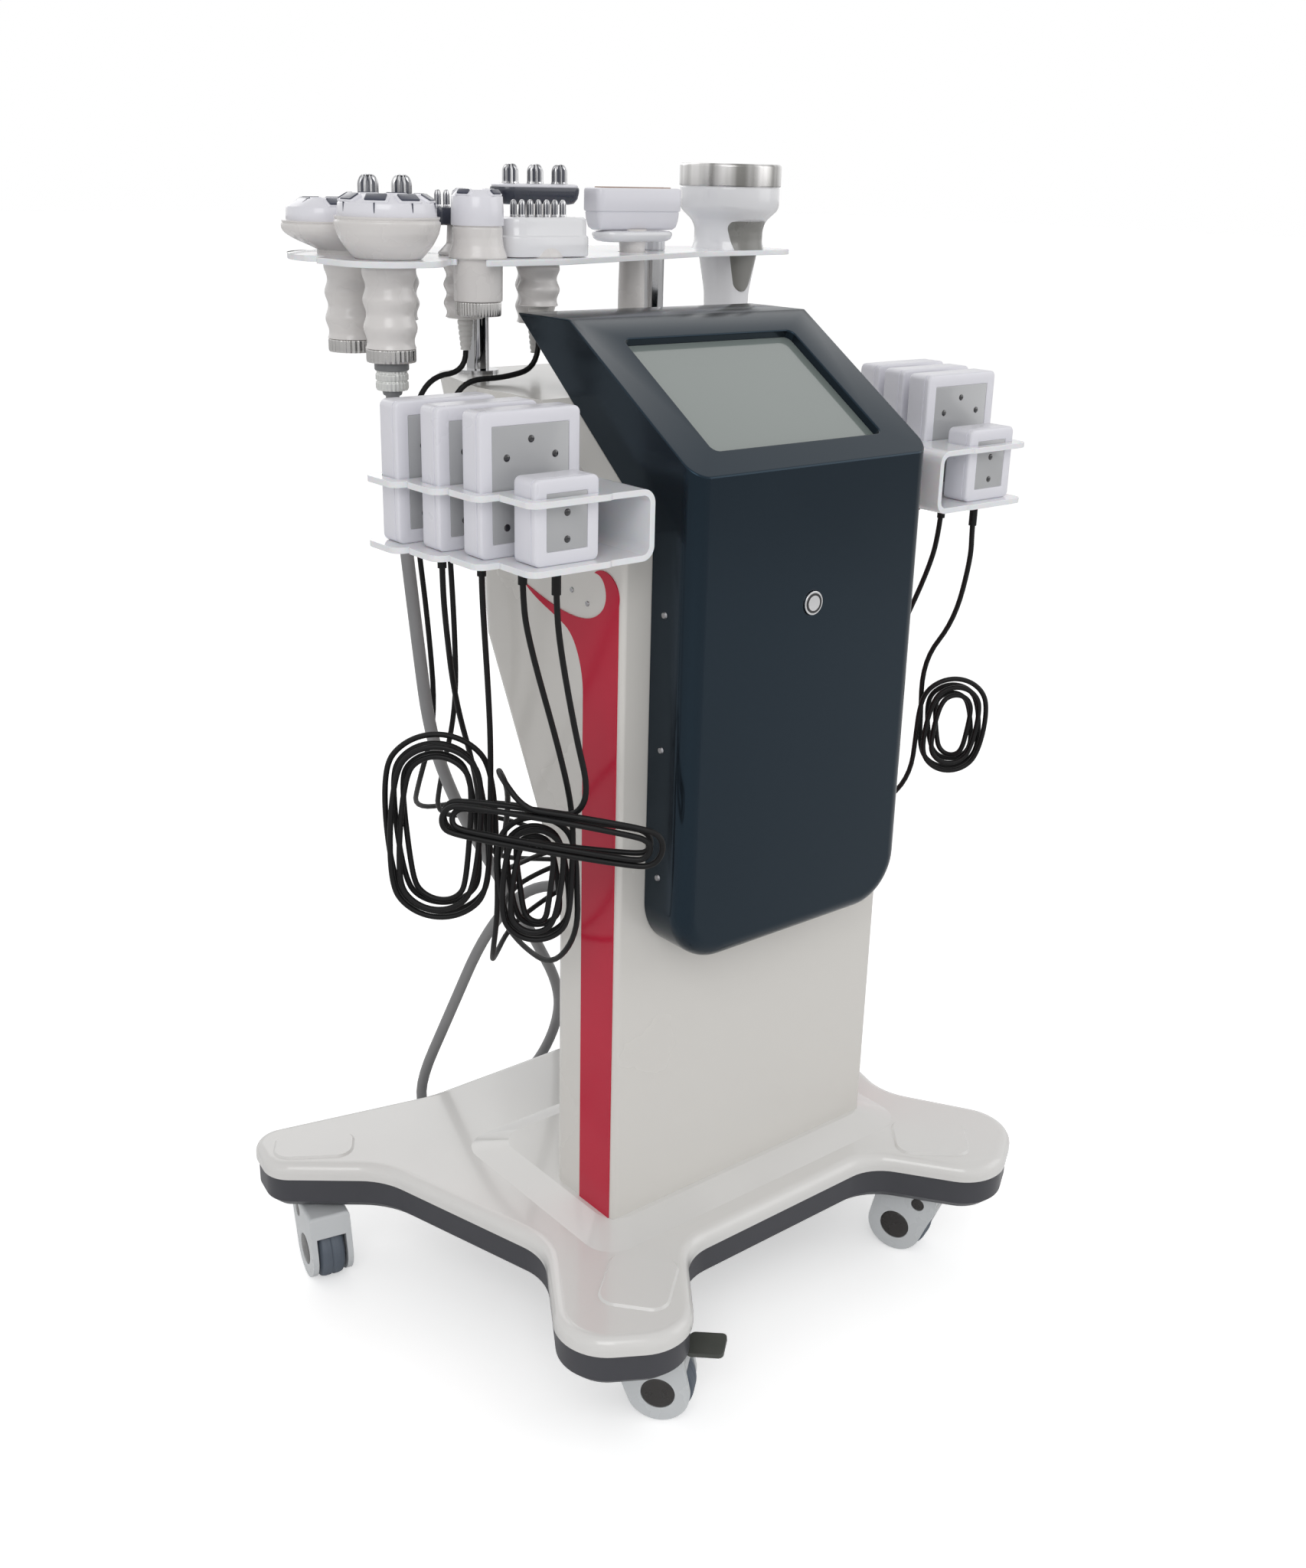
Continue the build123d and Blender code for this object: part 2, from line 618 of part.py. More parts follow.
def column_section(z, side_depth, back_half, back_depth, inset):
    """Plan of the column at one level, drawn in by inset all round."""
    side_y, back_y = column_front + side_depth, column_front + back_depth
    with BuildSketch(Plane.XY.offset(z)) as section:
        with BuildLine():
            FilletPolyline(
                (-column_half_width, column_front),
                (-column_half_width, side_y),
                (-back_half, back_y),
                (back_half, back_y),
                (column_half_width, side_y),
                (column_half_width, column_front),
                radius=[
                    column_front_radius, column_side_radius, column_back_radius,
                    column_back_radius, column_side_radius, column_front_radius,
                ],
                close=True,
            )
        make_face()
        if inset:
            offset(amount=-inset)
    return section.sketch


def under_head(drop):
    """Corners, in side view, of all that lies before and above the sloped top, lowered by drop."""
    return [
        (column_front - overrun, housing_under_z - drop - overrun * under_slope),
        (housing_top_back, housing_top_z - drop),
        (column_front - overrun, housing_top_z - drop),
    ]


waist = (waist_side_depth, waist_back_half, waist_back_depth)
shoulder = (shoulder_side_depth, shoulder_back_half, shoulder_back_depth)
crown = (top_side_depth, top_back_half, top_back_depth)
with BuildPart() as column_core:
    for z, shape in (
        (column_bottom - overrun, waist), (column_waist_z, waist),
        (column_shoulder_z, shoulder), (column_top_z - column_wall, crown),
    ):
        add(column_section(z, *shape, column_wall))
    loft(ruled=True)
    with BuildSketch(Plane.YZ):
        with BuildLine():
            Polyline(*under_head(column_wall / cos(under_angle)), close=True)
        make_face()
    extrude(amount=column_half_width, both=True, mode=Mode.SUBTRACT)

with BuildPart() as column_shell:
    for z, shape in (
        (column_bottom, waist), (column_waist_z, waist),
        (column_shoulder_z, shoulder), (column_top_z, crown),
    ):
        add(column_section(z, *shape, 0))
    loft(ruled=True)
    with BuildSketch(Plane.YZ):
        with BuildLine():
            Polyline(*under_head(0), close=True)
        make_face()
    extrude(amount=column_half_width + overrun, both=True, mode=Mode.SUBTRACT)
    add(column_core.part, mode=Mode.SUBTRACT)
    with BuildSketch(Plane.XZ.offset(-column_back + overrun)):
        with Locations((0, rear_bottom_z + rear_opening_height / 2)):
            Rectangle(rear_opening_width, rear_opening_height)
    extrude(amount=-overrun - column_wall - overrun, mode=Mode.SUBTRACT)
save(column_shell.part, "column_shell")

# Power supply on the back of the mast
mast_back = mast_y + mast_depth / 2
with BuildPart() as power_supply:
    with Locations((0, mast_back, supply_bottom_z)):
        Box(supply_width, supply_depth, supply_height, align=(Align.CENTER, Align.MIN, Align.MIN))
    fillet(power_supply.edges().filter_by(Axis.Z), supply_edge)
    with Locations((0, mast_back + supply_depth / 2, supply_bottom_z + supply_height)):
        Box(
            supply_terminal_width, supply_terminal_depth, supply_terminal_height,
            align=(Align.CENTER, Align.CENTER, Align.MIN),
        )

# Vacuum pump: a motor below a diaphragm head with two ports, on a foot plate
with BuildPart() as vacuum_pump:
    with Locations((0, mast_back, pump_bottom_z)):
        Box(
            pump_head_width, pump_foot_thickness, pump_body_length + pump_head_height,
            align=(Align.CENTER, Align.MIN, Align.MIN),
        )
    pump_y = mast_back + pump_foot_thickness + pump_head_depth / 2
    with BuildSketch(Plane.XY.offset(pump_bottom_z)):
        with Locations((0, pump_y)):
            Circle(pump_body_diameter / 2)
    extrude(amount=pump_body_length)
    with Locations((0, pump_y, pump_bottom_z + pump_body_length)):
        Box(
            pump_head_width, pump_head_depth, pump_head_height,
            align=(Align.CENTER, Align.CENTER, Align.MIN),
        )
    with BuildSketch(Plane.XY.offset(pump_bottom_z + pump_body_length + pump_head_height)):
        with GridLocations(pump_head_width / 2, 0, 2, 1):
            with Locations((0, pump_y)):
                Circle(pump_port_diameter / 2)
    extrude(amount=pump_port_length)
with BuildPart() as inner_units:
    add(power_supply.part)
    add(vacuum_pump.part)
save(inner_units.part, "inner_units")

# Rear panel with vents, the mains inlet's window and two rows of sockets
rear_top_z = rear_bottom_z + rear_opening_height
inlet_z = rear_bottom_z + inlet_height
socket_middle_z = rear_top_z - socket_pitch_z
hose_port_z = socket_middle_z - socket_pitch_z - socket_diameter
vent_middle_z = (rear_bottom_z + rear_top_z) / 2
with BuildPart() as rear_panel:
    with BuildSketch(Plane.XZ.offset(-column_back)):
        with Locations((0, (rear_bottom_z + rear_top_z) / 2)):
            RectangleRounded(
                rear_opening_width + 2 * rear_lap, rear_opening_height + 2 * rear_lap, rear_lap
            )
        with Locations((0, vent_middle_z)):
            with GridLocations(0, vent_pitch, 1, vent_count):
                SlotOverall(vent_width, vent_height, mode=Mode.SUBTRACT)
        with Locations((0, inlet_z)):
            Rectangle(inlet_width + 2 * ease, inlet_height + 2 * ease, mode=Mode.SUBTRACT)
    extrude(amount=-rear_panel_plate)
    socket_plane = Plane.XZ.offset(-column_back - rear_panel_plate)
    with BuildSketch(socket_plane):
        with Locations((0, socket_middle_z)):
            with GridLocations(socket_pitch_x, socket_pitch_z, socket_columns, socket_rows):
                Circle(socket_diameter / 2)
                Circle(socket_bore / 2, mode=Mode.SUBTRACT)
        with Locations((hose_port_x, hose_port_z)):
            Circle(hose_port_diameter / 2)
    extrude(amount=-socket_length)
save(rear_panel.part, "rear_panel")

# Mains inlet, let into the rear panel, with its three pins
with BuildPart() as power_inlet:
    with BuildSketch(Plane.XZ.offset(-column_back - rear_panel_plate)):
        with Locations((0, inlet_z)):
            RectangleRounded(
                inlet_width + 2 * inlet_margin, inlet_height + 2 * inlet_margin, inlet_margin
            )
    extrude(amount=-inlet_flange)
    with BuildSketch(Plane.XZ.offset(-column_back - rear_panel_plate)):
        with Locations((0, inlet_z)):
            Rectangle(inlet_width, inlet_height)
    extrude(amount=inlet_depth)
    inlet_face = Plane.XZ.offset(-column_back - rear_panel_plate - inlet_flange)
    with BuildSketch(inlet_face):
        with Locations((0, inlet_z)):
            RectangleRounded(
                inlet_width - 2 * inlet_margin, inlet_height - 2 * inlet_margin, inlet_margin
            )
    extrude(amount=inlet_pin_length + inlet_margin, mode=Mode.SUBTRACT)
    with BuildSketch(inlet_face.offset(inlet_pin_length + inlet_margin)):
        with Locations((0, inlet_z)):
            with GridLocations(inlet_width / 4, 0, 3, 1):
                Rectangle(inlet_pin_width / 2, inlet_pin_width)
    extrude(amount=-inlet_pin_length)
save(power_inlet.part, "power_inlet")

# Red stripe on each side, widening into a swoosh under the side tray
def stripe_points(shares):
    """Points of the stripe's outline from shares of its upper field."""
    front = column_front + stripe_front_gap
    return [
        (front + u * stripe_reach, stripe_spread_z + v * (stripe_top_z - stripe_spread_z))
        for u, v in shares
    ]


stripe_front = column_front + stripe_front_gap
stripe_back = stripe_front + stripe_width
with BuildPart() as side_stripes:
    for side_plane in (
        Plane.YZ.offset(column_half_width), Plane.YZ.offset(-column_half_width - stripe_thickness)
    ):
        with BuildSketch(side_plane):
            with BuildLine():
                lower = Spline(*stripe_points(stripe_lower_shares))
                upper = Spline(*stripe_points(stripe_upper_shares))
                top = Spline(*stripe_points(stripe_crown_shares))
                Polyline(
                    top @ 1, (stripe_front, column_bottom), (stripe_back, column_bottom), lower @ 0
                )
            make_face()
        extrude(amount=stripe_thickness)
save(side_stripes.part, "side_stripes")

# Front housing: a dark box on the column with the sloped head for the screen
screen_run = Vector(0, housing_top_front - housing_front, housing_top_z - housing_knee_z)
screen_middle = Vector(0, housing_front, housing_knee_z) + screen_run * 0.5
screen_plane = Plane(
    origin=screen_middle, x_dir=(1, 0, 0), z_dir=Vector(1, 0, 0).cross(screen_run)
)
with BuildPart() as front_housing:
    with BuildSketch(Plane.YZ):
        with BuildLine():
            Polyline(
                (column_front, housing_bottom_z),
                (housing_front, housing_bottom_z),
                (housing_front, housing_knee_z),
                (housing_top_front, housing_top_z),
                (housing_top_back, housing_top_z),
                (column_front, housing_under_z),
                close=True,
            )
        make_face()
    extrude(amount=housing_half_width, both=True)
    lower_corners = front_housing.edges().filter_by(Axis.Y).group_by(Axis.Z)[0]
    fillet(lower_corners, housing_corner)
    fillet(front_housing.faces().sort_by(Axis.Y)[0].edges().filter_by(Axis.Z), housing_edge)
    with BuildSketch(screen_plane):
        RectangleRounded(screen_width, screen_length, screen_corner)
    extrude(amount=-screen_depth, mode=Mode.SUBTRACT)
    with BuildSketch(Plane.XZ.offset(-housing_front)):
        with Locations((0, button_z)):
            Circle(bezel_diameter / 2 + fit)
    extrude(amount=-bezel_depth, mode=Mode.SUBTRACT)
save(front_housing.part, "front_housing")

# Touch screen, lying in its recess
with BuildPart() as touch_screen:
    with BuildSketch(screen_plane.offset(-screen_depth)):
        RectangleRounded(screen_width - 2 * glass_ease, screen_length - 2 * glass_ease, screen_corner)
    extrude(amount=glass_thickness)
save(touch_screen.part, "touch_screen")

# Round push button in a metal bezel
bezel_face = Plane.XZ.offset(-housing_front)
with BuildPart() as button_bezel:
    with BuildSketch(bezel_face.offset(-bezel_depth)):
        with Locations((0, button_z)):
            Circle(bezel_diameter / 2)
    extrude(amount=bezel_depth + bezel_proud)
    with BuildSketch(bezel_face.offset(bezel_proud)):
        with Locations((0, button_z)):
            Circle(button_diameter / 2 + ease)
    extrude(amount=bezel_floor - bezel_depth - bezel_proud, mode=Mode.SUBTRACT)
save(button_bezel.part, "button_bezel")

with BuildPart() as power_button:
    with BuildSketch(bezel_face.offset(bezel_floor + button_travel - bezel_depth + ease)):
        with Locations((0, button_z)):
            Circle(button_diameter / 2)
    extrude(amount=bezel_depth - button_travel)
save(power_button.part, "power_button")

# Small pan-head screws on both sides of the front housing
with BuildPart() as housing_screws:
    for sign in (1, -1):
        for z in housing_screw_heights:
            screw_plane = Plane(
                origin=(sign * housing_half_width, housing_screw_y, z), z_dir=(sign, 0, 0)
            )
            with BuildSketch(screw_plane):
                Circle(housing_screw_diameter / 2)
            extrude(amount=housing_screw_height, taper=screw_head_taper)
save(housing_screws.part, "housing_screws")

# Chrome posts with flanges, standing on the column's deck
with BuildPart() as tray_posts:
    with BuildSketch(Plane.XY.offset(column_top_z)):
        with GridLocations(2 * post_x, 0, 2, 1):
            with Locations((0, post_y)):
                Circle(post_flange_diameter / 2)
    extrude(amount=post_flange)
    with BuildSketch(Plane.XY.offset(column_top_z)):
        with GridLocations(2 * post_x, 0, 2, 1):
            with Locations((0, post_y)):
                Circle(post_diameter / 2)
    extrude(amount=tray_bottom_z - column_top_z)
save(tray_posts.part, "tray_posts")

# White caps that clamp the tray to the posts
with BuildPart() as tray_knobs:
    with BuildSketch(Plane.XY.offset(tray_top_z)):
        with GridLocations(2 * post_x, 0, 2, 1):
            with Locations((0, post_y)):
                Circle(knob_diameter / 2)
    extrude(amount=knob_height)
    fillet(tray_knobs.edges().group_by(Axis.Z)[-1], knob_round)
save(tray_knobs.part, "tray_knobs")

# Top tray: a lobed board with a hole for every handpiece
grip_hole = grip_radius + grip_swell + hole_ease
face_hole = face_body[1][0] + hole_ease
probe_hole = probe_radius + probe_swell + hole_ease
cavitation_hole = cavitation_body[3][0] + tongue_depth + hole_ease
tray_holes = [
    (vacuum_place, grip_hole), (wide_place, grip_hole), (face_place, face_hole),
    (row_place, probe_hole), (side_place, probe_hole),
    (body_place, probe_hole), (rear_place, probe_hole),
    (plate_place, plate_neck[1][0] + hole_ease), (cavitation_place, cavitation_hole),
]
with BuildPart() as top_tray:
    with BuildSketch(Plane.XY.offset(tray_bottom_z)):
        with BuildLine():
            FilletPolyline(
                *[
                    (tray_left + u * (tray_right - tray_left), tray_front + v * (tray_back - tray_front))
                    for u, v in tray_outline_shares
                ],
                radius=tray_corner_radii,
                close=True,
            )
        make_face()
        for place, radius in tray_holes:
            with Locations(place):
                Circle(radius, mode=Mode.SUBTRACT)
        with Locations(Location(face_place, face_slot_angle)):
            Rectangle(
                4 * face_hole, face_slot_mouth, align=(Align.MIN, Align.CENTER), mode=Mode.SUBTRACT
            )
    extrude(amount=tray_thickness)
save(top_tray.part, "top_tray")



def grip_outline(top, bottom, radius, swell, waves):
    """Half profile of a wavy grip, from its top down to its bottom."""
    steps = 4 * waves
    return [
        (radius + swell * sin(2 * pi * waves * i / steps), top + (bottom - top) * i / steps)
        for i in range(steps + 1)
    ]


def turn(place, profile, grip=()):
    """Solid turned about a place on the tray: a half profile, over a wavy grip if there is one."""
    half = Plane(origin=(*place, tray_top_z), x_dir=(1, 0, 0), z_dir=(0, -1, 0))
    foot = grip[-1] if grip else profile[0]
    with BuildPart() as body:
        with BuildSketch(half):
            with BuildLine():
                if grip:
                    Spline(*grip)
                    Line(grip[0], profile[0])
                Polyline(*profile, (0, profile[-1][1]), (0, foot[1]), foot)
            make_face()
        revolve(axis=Axis((*place, 0), (0, 0, 1)))
    return body.part


def level(place, height):
    """Horizontal plane at a handpiece's place, at a height above the tray."""
    return Plane(origin=(*place, tray_top_z + height))


def disc(place, radius, low, high):
    """Upright cylinder between two heights above the tray."""
    with BuildPart() as piece:
        with BuildSketch(level(place, low)):
            Circle(radius)
        extrude(amount=high - low)
    return piece.part


def block(place, length, width, corner, low, high):
    """Rounded block between two heights above the tray."""
    with BuildPart() as piece:
        with BuildSketch(level(place, low)):
            RectangleRounded(length, width, corner)
        extrude(amount=high - low)
    return piece.part


def electrodes(place, spots, length, width, low, rise):
    """Flat electrodes, each on a spot (x, y, angle) of a head."""
    with BuildPart() as pieces:
        with BuildSketch(level(place, low)):
            with Locations(*[Location((x, y), angle) for x, y, angle in spots]):
                Rectangle(length, width)
        extrude(amount=rise)
    return pieces.part


def round_spots(count, radius):
    """Spots evenly round a circle, each square to its radius."""
    return [
        (radius * cos(2 * pi * i / count), radius * sin(2 * pi * i / count), 90 + 360 * i / count)
        for i in range(count)
    ]


# Vacuum handpieces: the same ringed handle under a round cup and a wide cup
vacuum_grip = grip_outline(-tray_thickness, grip_bottom, grip_radius, grip_swell, grip_waves)
ring_bottom = grip_bottom - ring_height
collar_bottom = ring_bottom - collar_height
nut_bottom = collar_bottom - nut_height
vacuum_rim = vacuum_body[-1][1]
with BuildPart() as vacuum_handpiece:
    add(turn(vacuum_place, vacuum_body, vacuum_grip))
    add(disc(vacuum_place, ring_radius, ring_bottom, grip_bottom))
    add(disc(vacuum_place, collar_radius, collar_bottom, ring_bottom))
    add(disc(vacuum_place, nut_radius, nut_bottom, collar_bottom))
save(vacuum_handpiece.part, "vacuum_handpiece")

crown_middle = (vacuum_crown_diameter - vacuum_crown_wall) / 2
crown_deck = vacuum_rim + vacuum_crown_height - electrode_rise
with BuildPart() as vacuum_cup:
    with BuildSketch(level(vacuum_place, vacuum_rim)):
        Circle(vacuum_crown_diameter / 2)
        Circle(vacuum_crown_diameter / 2 - vacuum_crown_wall, mode=Mode.SUBTRACT)
    extrude(amount=vacuum_crown_height - electrode_rise)
    add(
        electrodes(
            vacuum_place, round_spots(vacuum_electrode_count, crown_middle),
            electrode_length, electrode_width, crown_deck, electrode_rise,
        )
    )
save(vacuum_cup.part, "vacuum_cup")

wide_rim = wide_flare_height + wide_rim_height
with BuildPart() as wide_handpiece:
    wide_seat = [vacuum_body[0], (seat_radius, 0), (seat_radius, wide_flare_bottom)]
    add(turn(wide_place, wide_seat, vacuum_grip))
    with BuildSketch(level(wide_place, wide_flare_bottom)):
        RectangleRounded(2 * seat_radius, 2 * seat_radius, seat_radius - ease)
    with BuildSketch(level(wide_place, wide_flare_height)):
        RectangleRounded(wide_head_length, wide_head_width, wide_head_corner)
    loft()
    add(
        block(
            wide_place, wide_head_length, wide_head_width, wide_head_corner, wide_flare_height, wide_rim
        )
    )
    add(disc(wide_place, ring_radius, ring_bottom, grip_bottom))
    with Locations((*wide_place, tray_top_z + ring_bottom)):
        Cylinder(
            socket_radius, socket_depth,
            align=(Align.CENTER, Align.CENTER, Align.MIN), mode=Mode.SUBTRACT,
        )
save(wide_handpiece.part, "wide_handpiece")

wide_deck = wide_rim + wide_crown_height - electrode_rise
wide_spots = [
    (step * wide_electrode_pitch, sign * wide_electrode_y, 0)
    for sign in (1, -1) for step in (-1, 0, 1)
] + [(sign * wide_electrode_x, 0, 90) for sign in (1, -1)]
with BuildPart() as wide_cup:
    crown_length = wide_head_length - 2 * wide_crown_inset
    crown_width = wide_head_width - 2 * wide_crown_inset
    crown_corner = wide_head_corner - wide_crown_inset
    with BuildSketch(level(wide_place, wide_rim)):
        RectangleRounded(crown_length, crown_width, crown_corner)
        RectangleRounded(
            crown_length - 2 * wide_crown_wall, crown_width - 2 * wide_crown_wall,
            crown_corner - wide_crown_wall, mode=Mode.SUBTRACT,
        )
    extrude(amount=wide_crown_height - electrode_rise)
    add(
        electrodes(
            wide_place, wide_spots, electrode_length, electrode_width, wide_deck, electrode_rise
        )
    )
save(wide_cup.part, "wide_cup")

# Slim face handpiece, hung in the open slot of the tray
face_foot, face_rim = face_body[0][1], face_body[-1][1]
with BuildPart() as face_handpiece:
    add(turn(face_place, face_body))
    add(disc(face_place, face_ring_radius, face_foot - face_ring_height, face_foot))
    with Locations((*face_place, tray_top_z + face_foot - face_ring_height)):
        Cylinder(
            socket_radius, socket_depth,
            align=(Align.CENTER, Align.CENTER, Align.MIN), mode=Mode.SUBTRACT,
        )
save(face_handpiece.part, "face_handpiece")

with BuildPart() as face_cup:
    with BuildSketch(level(face_place, face_rim)):
        Circle(face_crown_diameter / 2)
        Circle(face_crown_diameter / 2 - face_crown_wall, mode=Mode.SUBTRACT)
    extrude(amount=face_crown_height - electrode_rise)
    add(
        electrodes(
            face_place,
            round_spots(face_electrode_count, (face_crown_diameter - face_crown_wall) / 2),
            face_electrode_length, face_electrode_width,
            face_rim + face_crown_height - electrode_rise, electrode_rise,
        )
    )
save(face_cup.part, "face_cup")


def tips(place, count, pitch, radius, low, height):
    """Row of round electrode tips along X with domed ends."""
    with BuildPart() as row:
        with BuildSketch(level(place, low)):
            with GridLocations(pitch, 0, count, 1):
                Circle(radius)
        extrude(amount=height)
        fillet(row.edges().group_by(Axis.Z)[-1], radius / 2)
    return row.part


def tapered(place, bottom):
    """Strain relief that narrows below a handle to its cable."""
    return turn(place, [(relief_tip, bottom - relief_length), (relief_top, bottom)])


# Body probe: a dark plate with a pale deck and three thick tips
probe_grip = grip_outline(-tray_thickness, probe_bottom, probe_radius, probe_swell, probe_waves)
deck_bottom = probe_neck_height + probe_plate_height
deck_top = deck_bottom + probe_deck_height
with BuildPart() as body_probe:
    add(turn(body_place, probe_neck, probe_grip))
    add(tapered(body_place, probe_bottom))
    add(
        block(
            body_place, probe_head_length, probe_head_width, probe_head_corner,
            probe_neck_height, deck_bottom,
        )
    )
save(body_probe.part, "body_probe")

with BuildPart() as body_probe_tips:
    add(
        block(
            body_place, probe_head_length - 2 * probe_deck_inset,
            probe_head_width - 2 * probe_deck_inset, probe_head_corner - probe_deck_inset,
            deck_bottom, deck_top,
        )
    )
    add(tips(body_place, tip_count, tip_pitch, tip_radius, deck_top, tip_height))
save(body_probe_tips.part, "body_probe_tips")

# The same head on a shorter neck, at the back of the tray
rear_deck = short_neck_height + probe_plate_height
with BuildPart() as rear_probe:
    add(turn(rear_place, short_neck, probe_grip))
    add(tapered(rear_place, probe_bottom))
    add(
        block(
            rear_place, probe_head_length, probe_head_width, probe_head_corner,
            short_neck_height, rear_deck,
        )
    )
    add(tips(rear_place, tip_count, tip_pitch, tip_radius, rear_deck, tip_height))
save(rear_probe.part, "rear_probe")

# Small probe beside them, on a shorter handle
side_grip = grip_outline(-tray_thickness, side_probe_bottom, probe_radius, probe_swell, probe_waves)
with BuildPart() as side_probe:
    add(turn(side_place, short_neck, side_grip))
    add(tapered(side_place, side_probe_bottom))
    add(
        block(
            side_place, side_head_length, side_head_width, side_head_corner,
            short_neck_height, rear_deck,
        )
    )
    add(tips(side_place, row_tip_count, row_tip_pitch, row_tip_radius, rear_deck, row_tip_height))
save(side_probe.part, "side_probe")

# Row probe: a white oval head with a row of thin tips
row_grip = grip_outline(-tray_thickness, row_probe_bottom, probe_radius, probe_swell, probe_waves - 1)
row_deck = row_neck_height + row_head_height
with BuildPart() as row_probe:
    with BuildSketch(level(row_place, row_neck_height)):
        RectangleRounded(row_head_length, row_head_width, row_head_corner)
    extrude(amount=row_head_height)
    fillet(row_probe.edges().group_by(Axis.Z)[-1], row_head_round)
    add(turn(row_place, row_neck, row_grip))
    add(tapered(row_place, row_probe_bottom))
save(row_probe.part, "row_probe")

with BuildPart() as row_probe_tips:
    add(tips(row_place, row_tip_count, row_tip_pitch, row_tip_radius, row_deck, row_tip_height))
save(row_probe_tips.part, "row_probe_tips")

# Plate probe: a flat head with two long electrodes on a slim handle
plate_deck = plate_neck_height + plate_head_height
with BuildPart() as plate_probe:
    with BuildSketch(level(plate_place, plate_neck_height)):
        RectangleRounded(plate_head_length, plate_head_width, plate_head_corner)
    extrude(amount=plate_head_height)
    fillet(plate_probe.edges().group_by(Axis.Z)[-1], plate_head_round)
    add(turn(plate_place, plate_neck))
    add(tapered(plate_place, plate_neck[0][1]))
    with BuildSketch(level(plate_place, plate_deck)):
        with GridLocations(0, plate_electrode_pitch, 1, 2):
            SlotOverall(plate_electrode_length, plate_electrode_width)
    extrude(amount=plate_electrode_rise)
save(plate_probe.part, "plate_probe")

# Cavitation handpiece: a conical body with a grey tongue down its front, under a metal disc
with BuildPart() as tongue:
    add(turn(cavitation_place, [(r + tongue_depth, z) for r, z in cavitation_body]))
    front = Plane(
        origin=(*cavitation_place, tray_top_z), x_dir=(1, 0, 0), z_dir=(0, -1, 0)
    )
    with BuildSketch(front):
        with BuildLine():
            Polyline(
                (-tongue_top_half, tongue_top), (-tongue_bottom_half, tongue_bottom),
                (tongue_bottom_half, tongue_bottom), (tongue_top_half, tongue_top), close=True,
            )
        make_face()
    extrude(amount=cavitation_disc_radius, mode=Mode.INTERSECT)

with BuildPart() as cavitation_handpiece:
    add(turn(cavitation_place, cavitation_body))
    add(tongue.part)
    add(tapered(cavitation_place, cavitation_body[0][1]))
save(cavitation_handpiece.part, "cavitation_handpiece")

cavitation_rim = cavitation_body[-1][1]
with BuildPart() as cavitation_disc:
    add(
        disc(
            cavitation_place, cavitation_disc_radius,
            cavitation_rim, cavitation_rim + cavitation_disc_height,
        )
    )
    fillet(cavitation_disc.edges().group_by(Axis.Z)[-1], tongue_depth)
save(cavitation_disc.part, "cavitation_disc")

# Pads in the side trays: where each stands on the left, with its sizes
large_pad_sizes = (pad_width, pad_thickness, pad_height)
small_pad_sizes = (small_pad_width, small_pad_thickness, small_pad_height)
large_pad_places = [
    (pad_first_x - i * pad_stagger, pad_first_y + i * pad_pitch) for i in range(large_pad_count)
]
pads = [(f"large_pad_{i + 1}", *place, *large_pad_sizes) for i, place in enumerate(large_pad_places)]
pads.append(("small_pad", small_pad_x, small_pad_y, *small_pad_sizes))

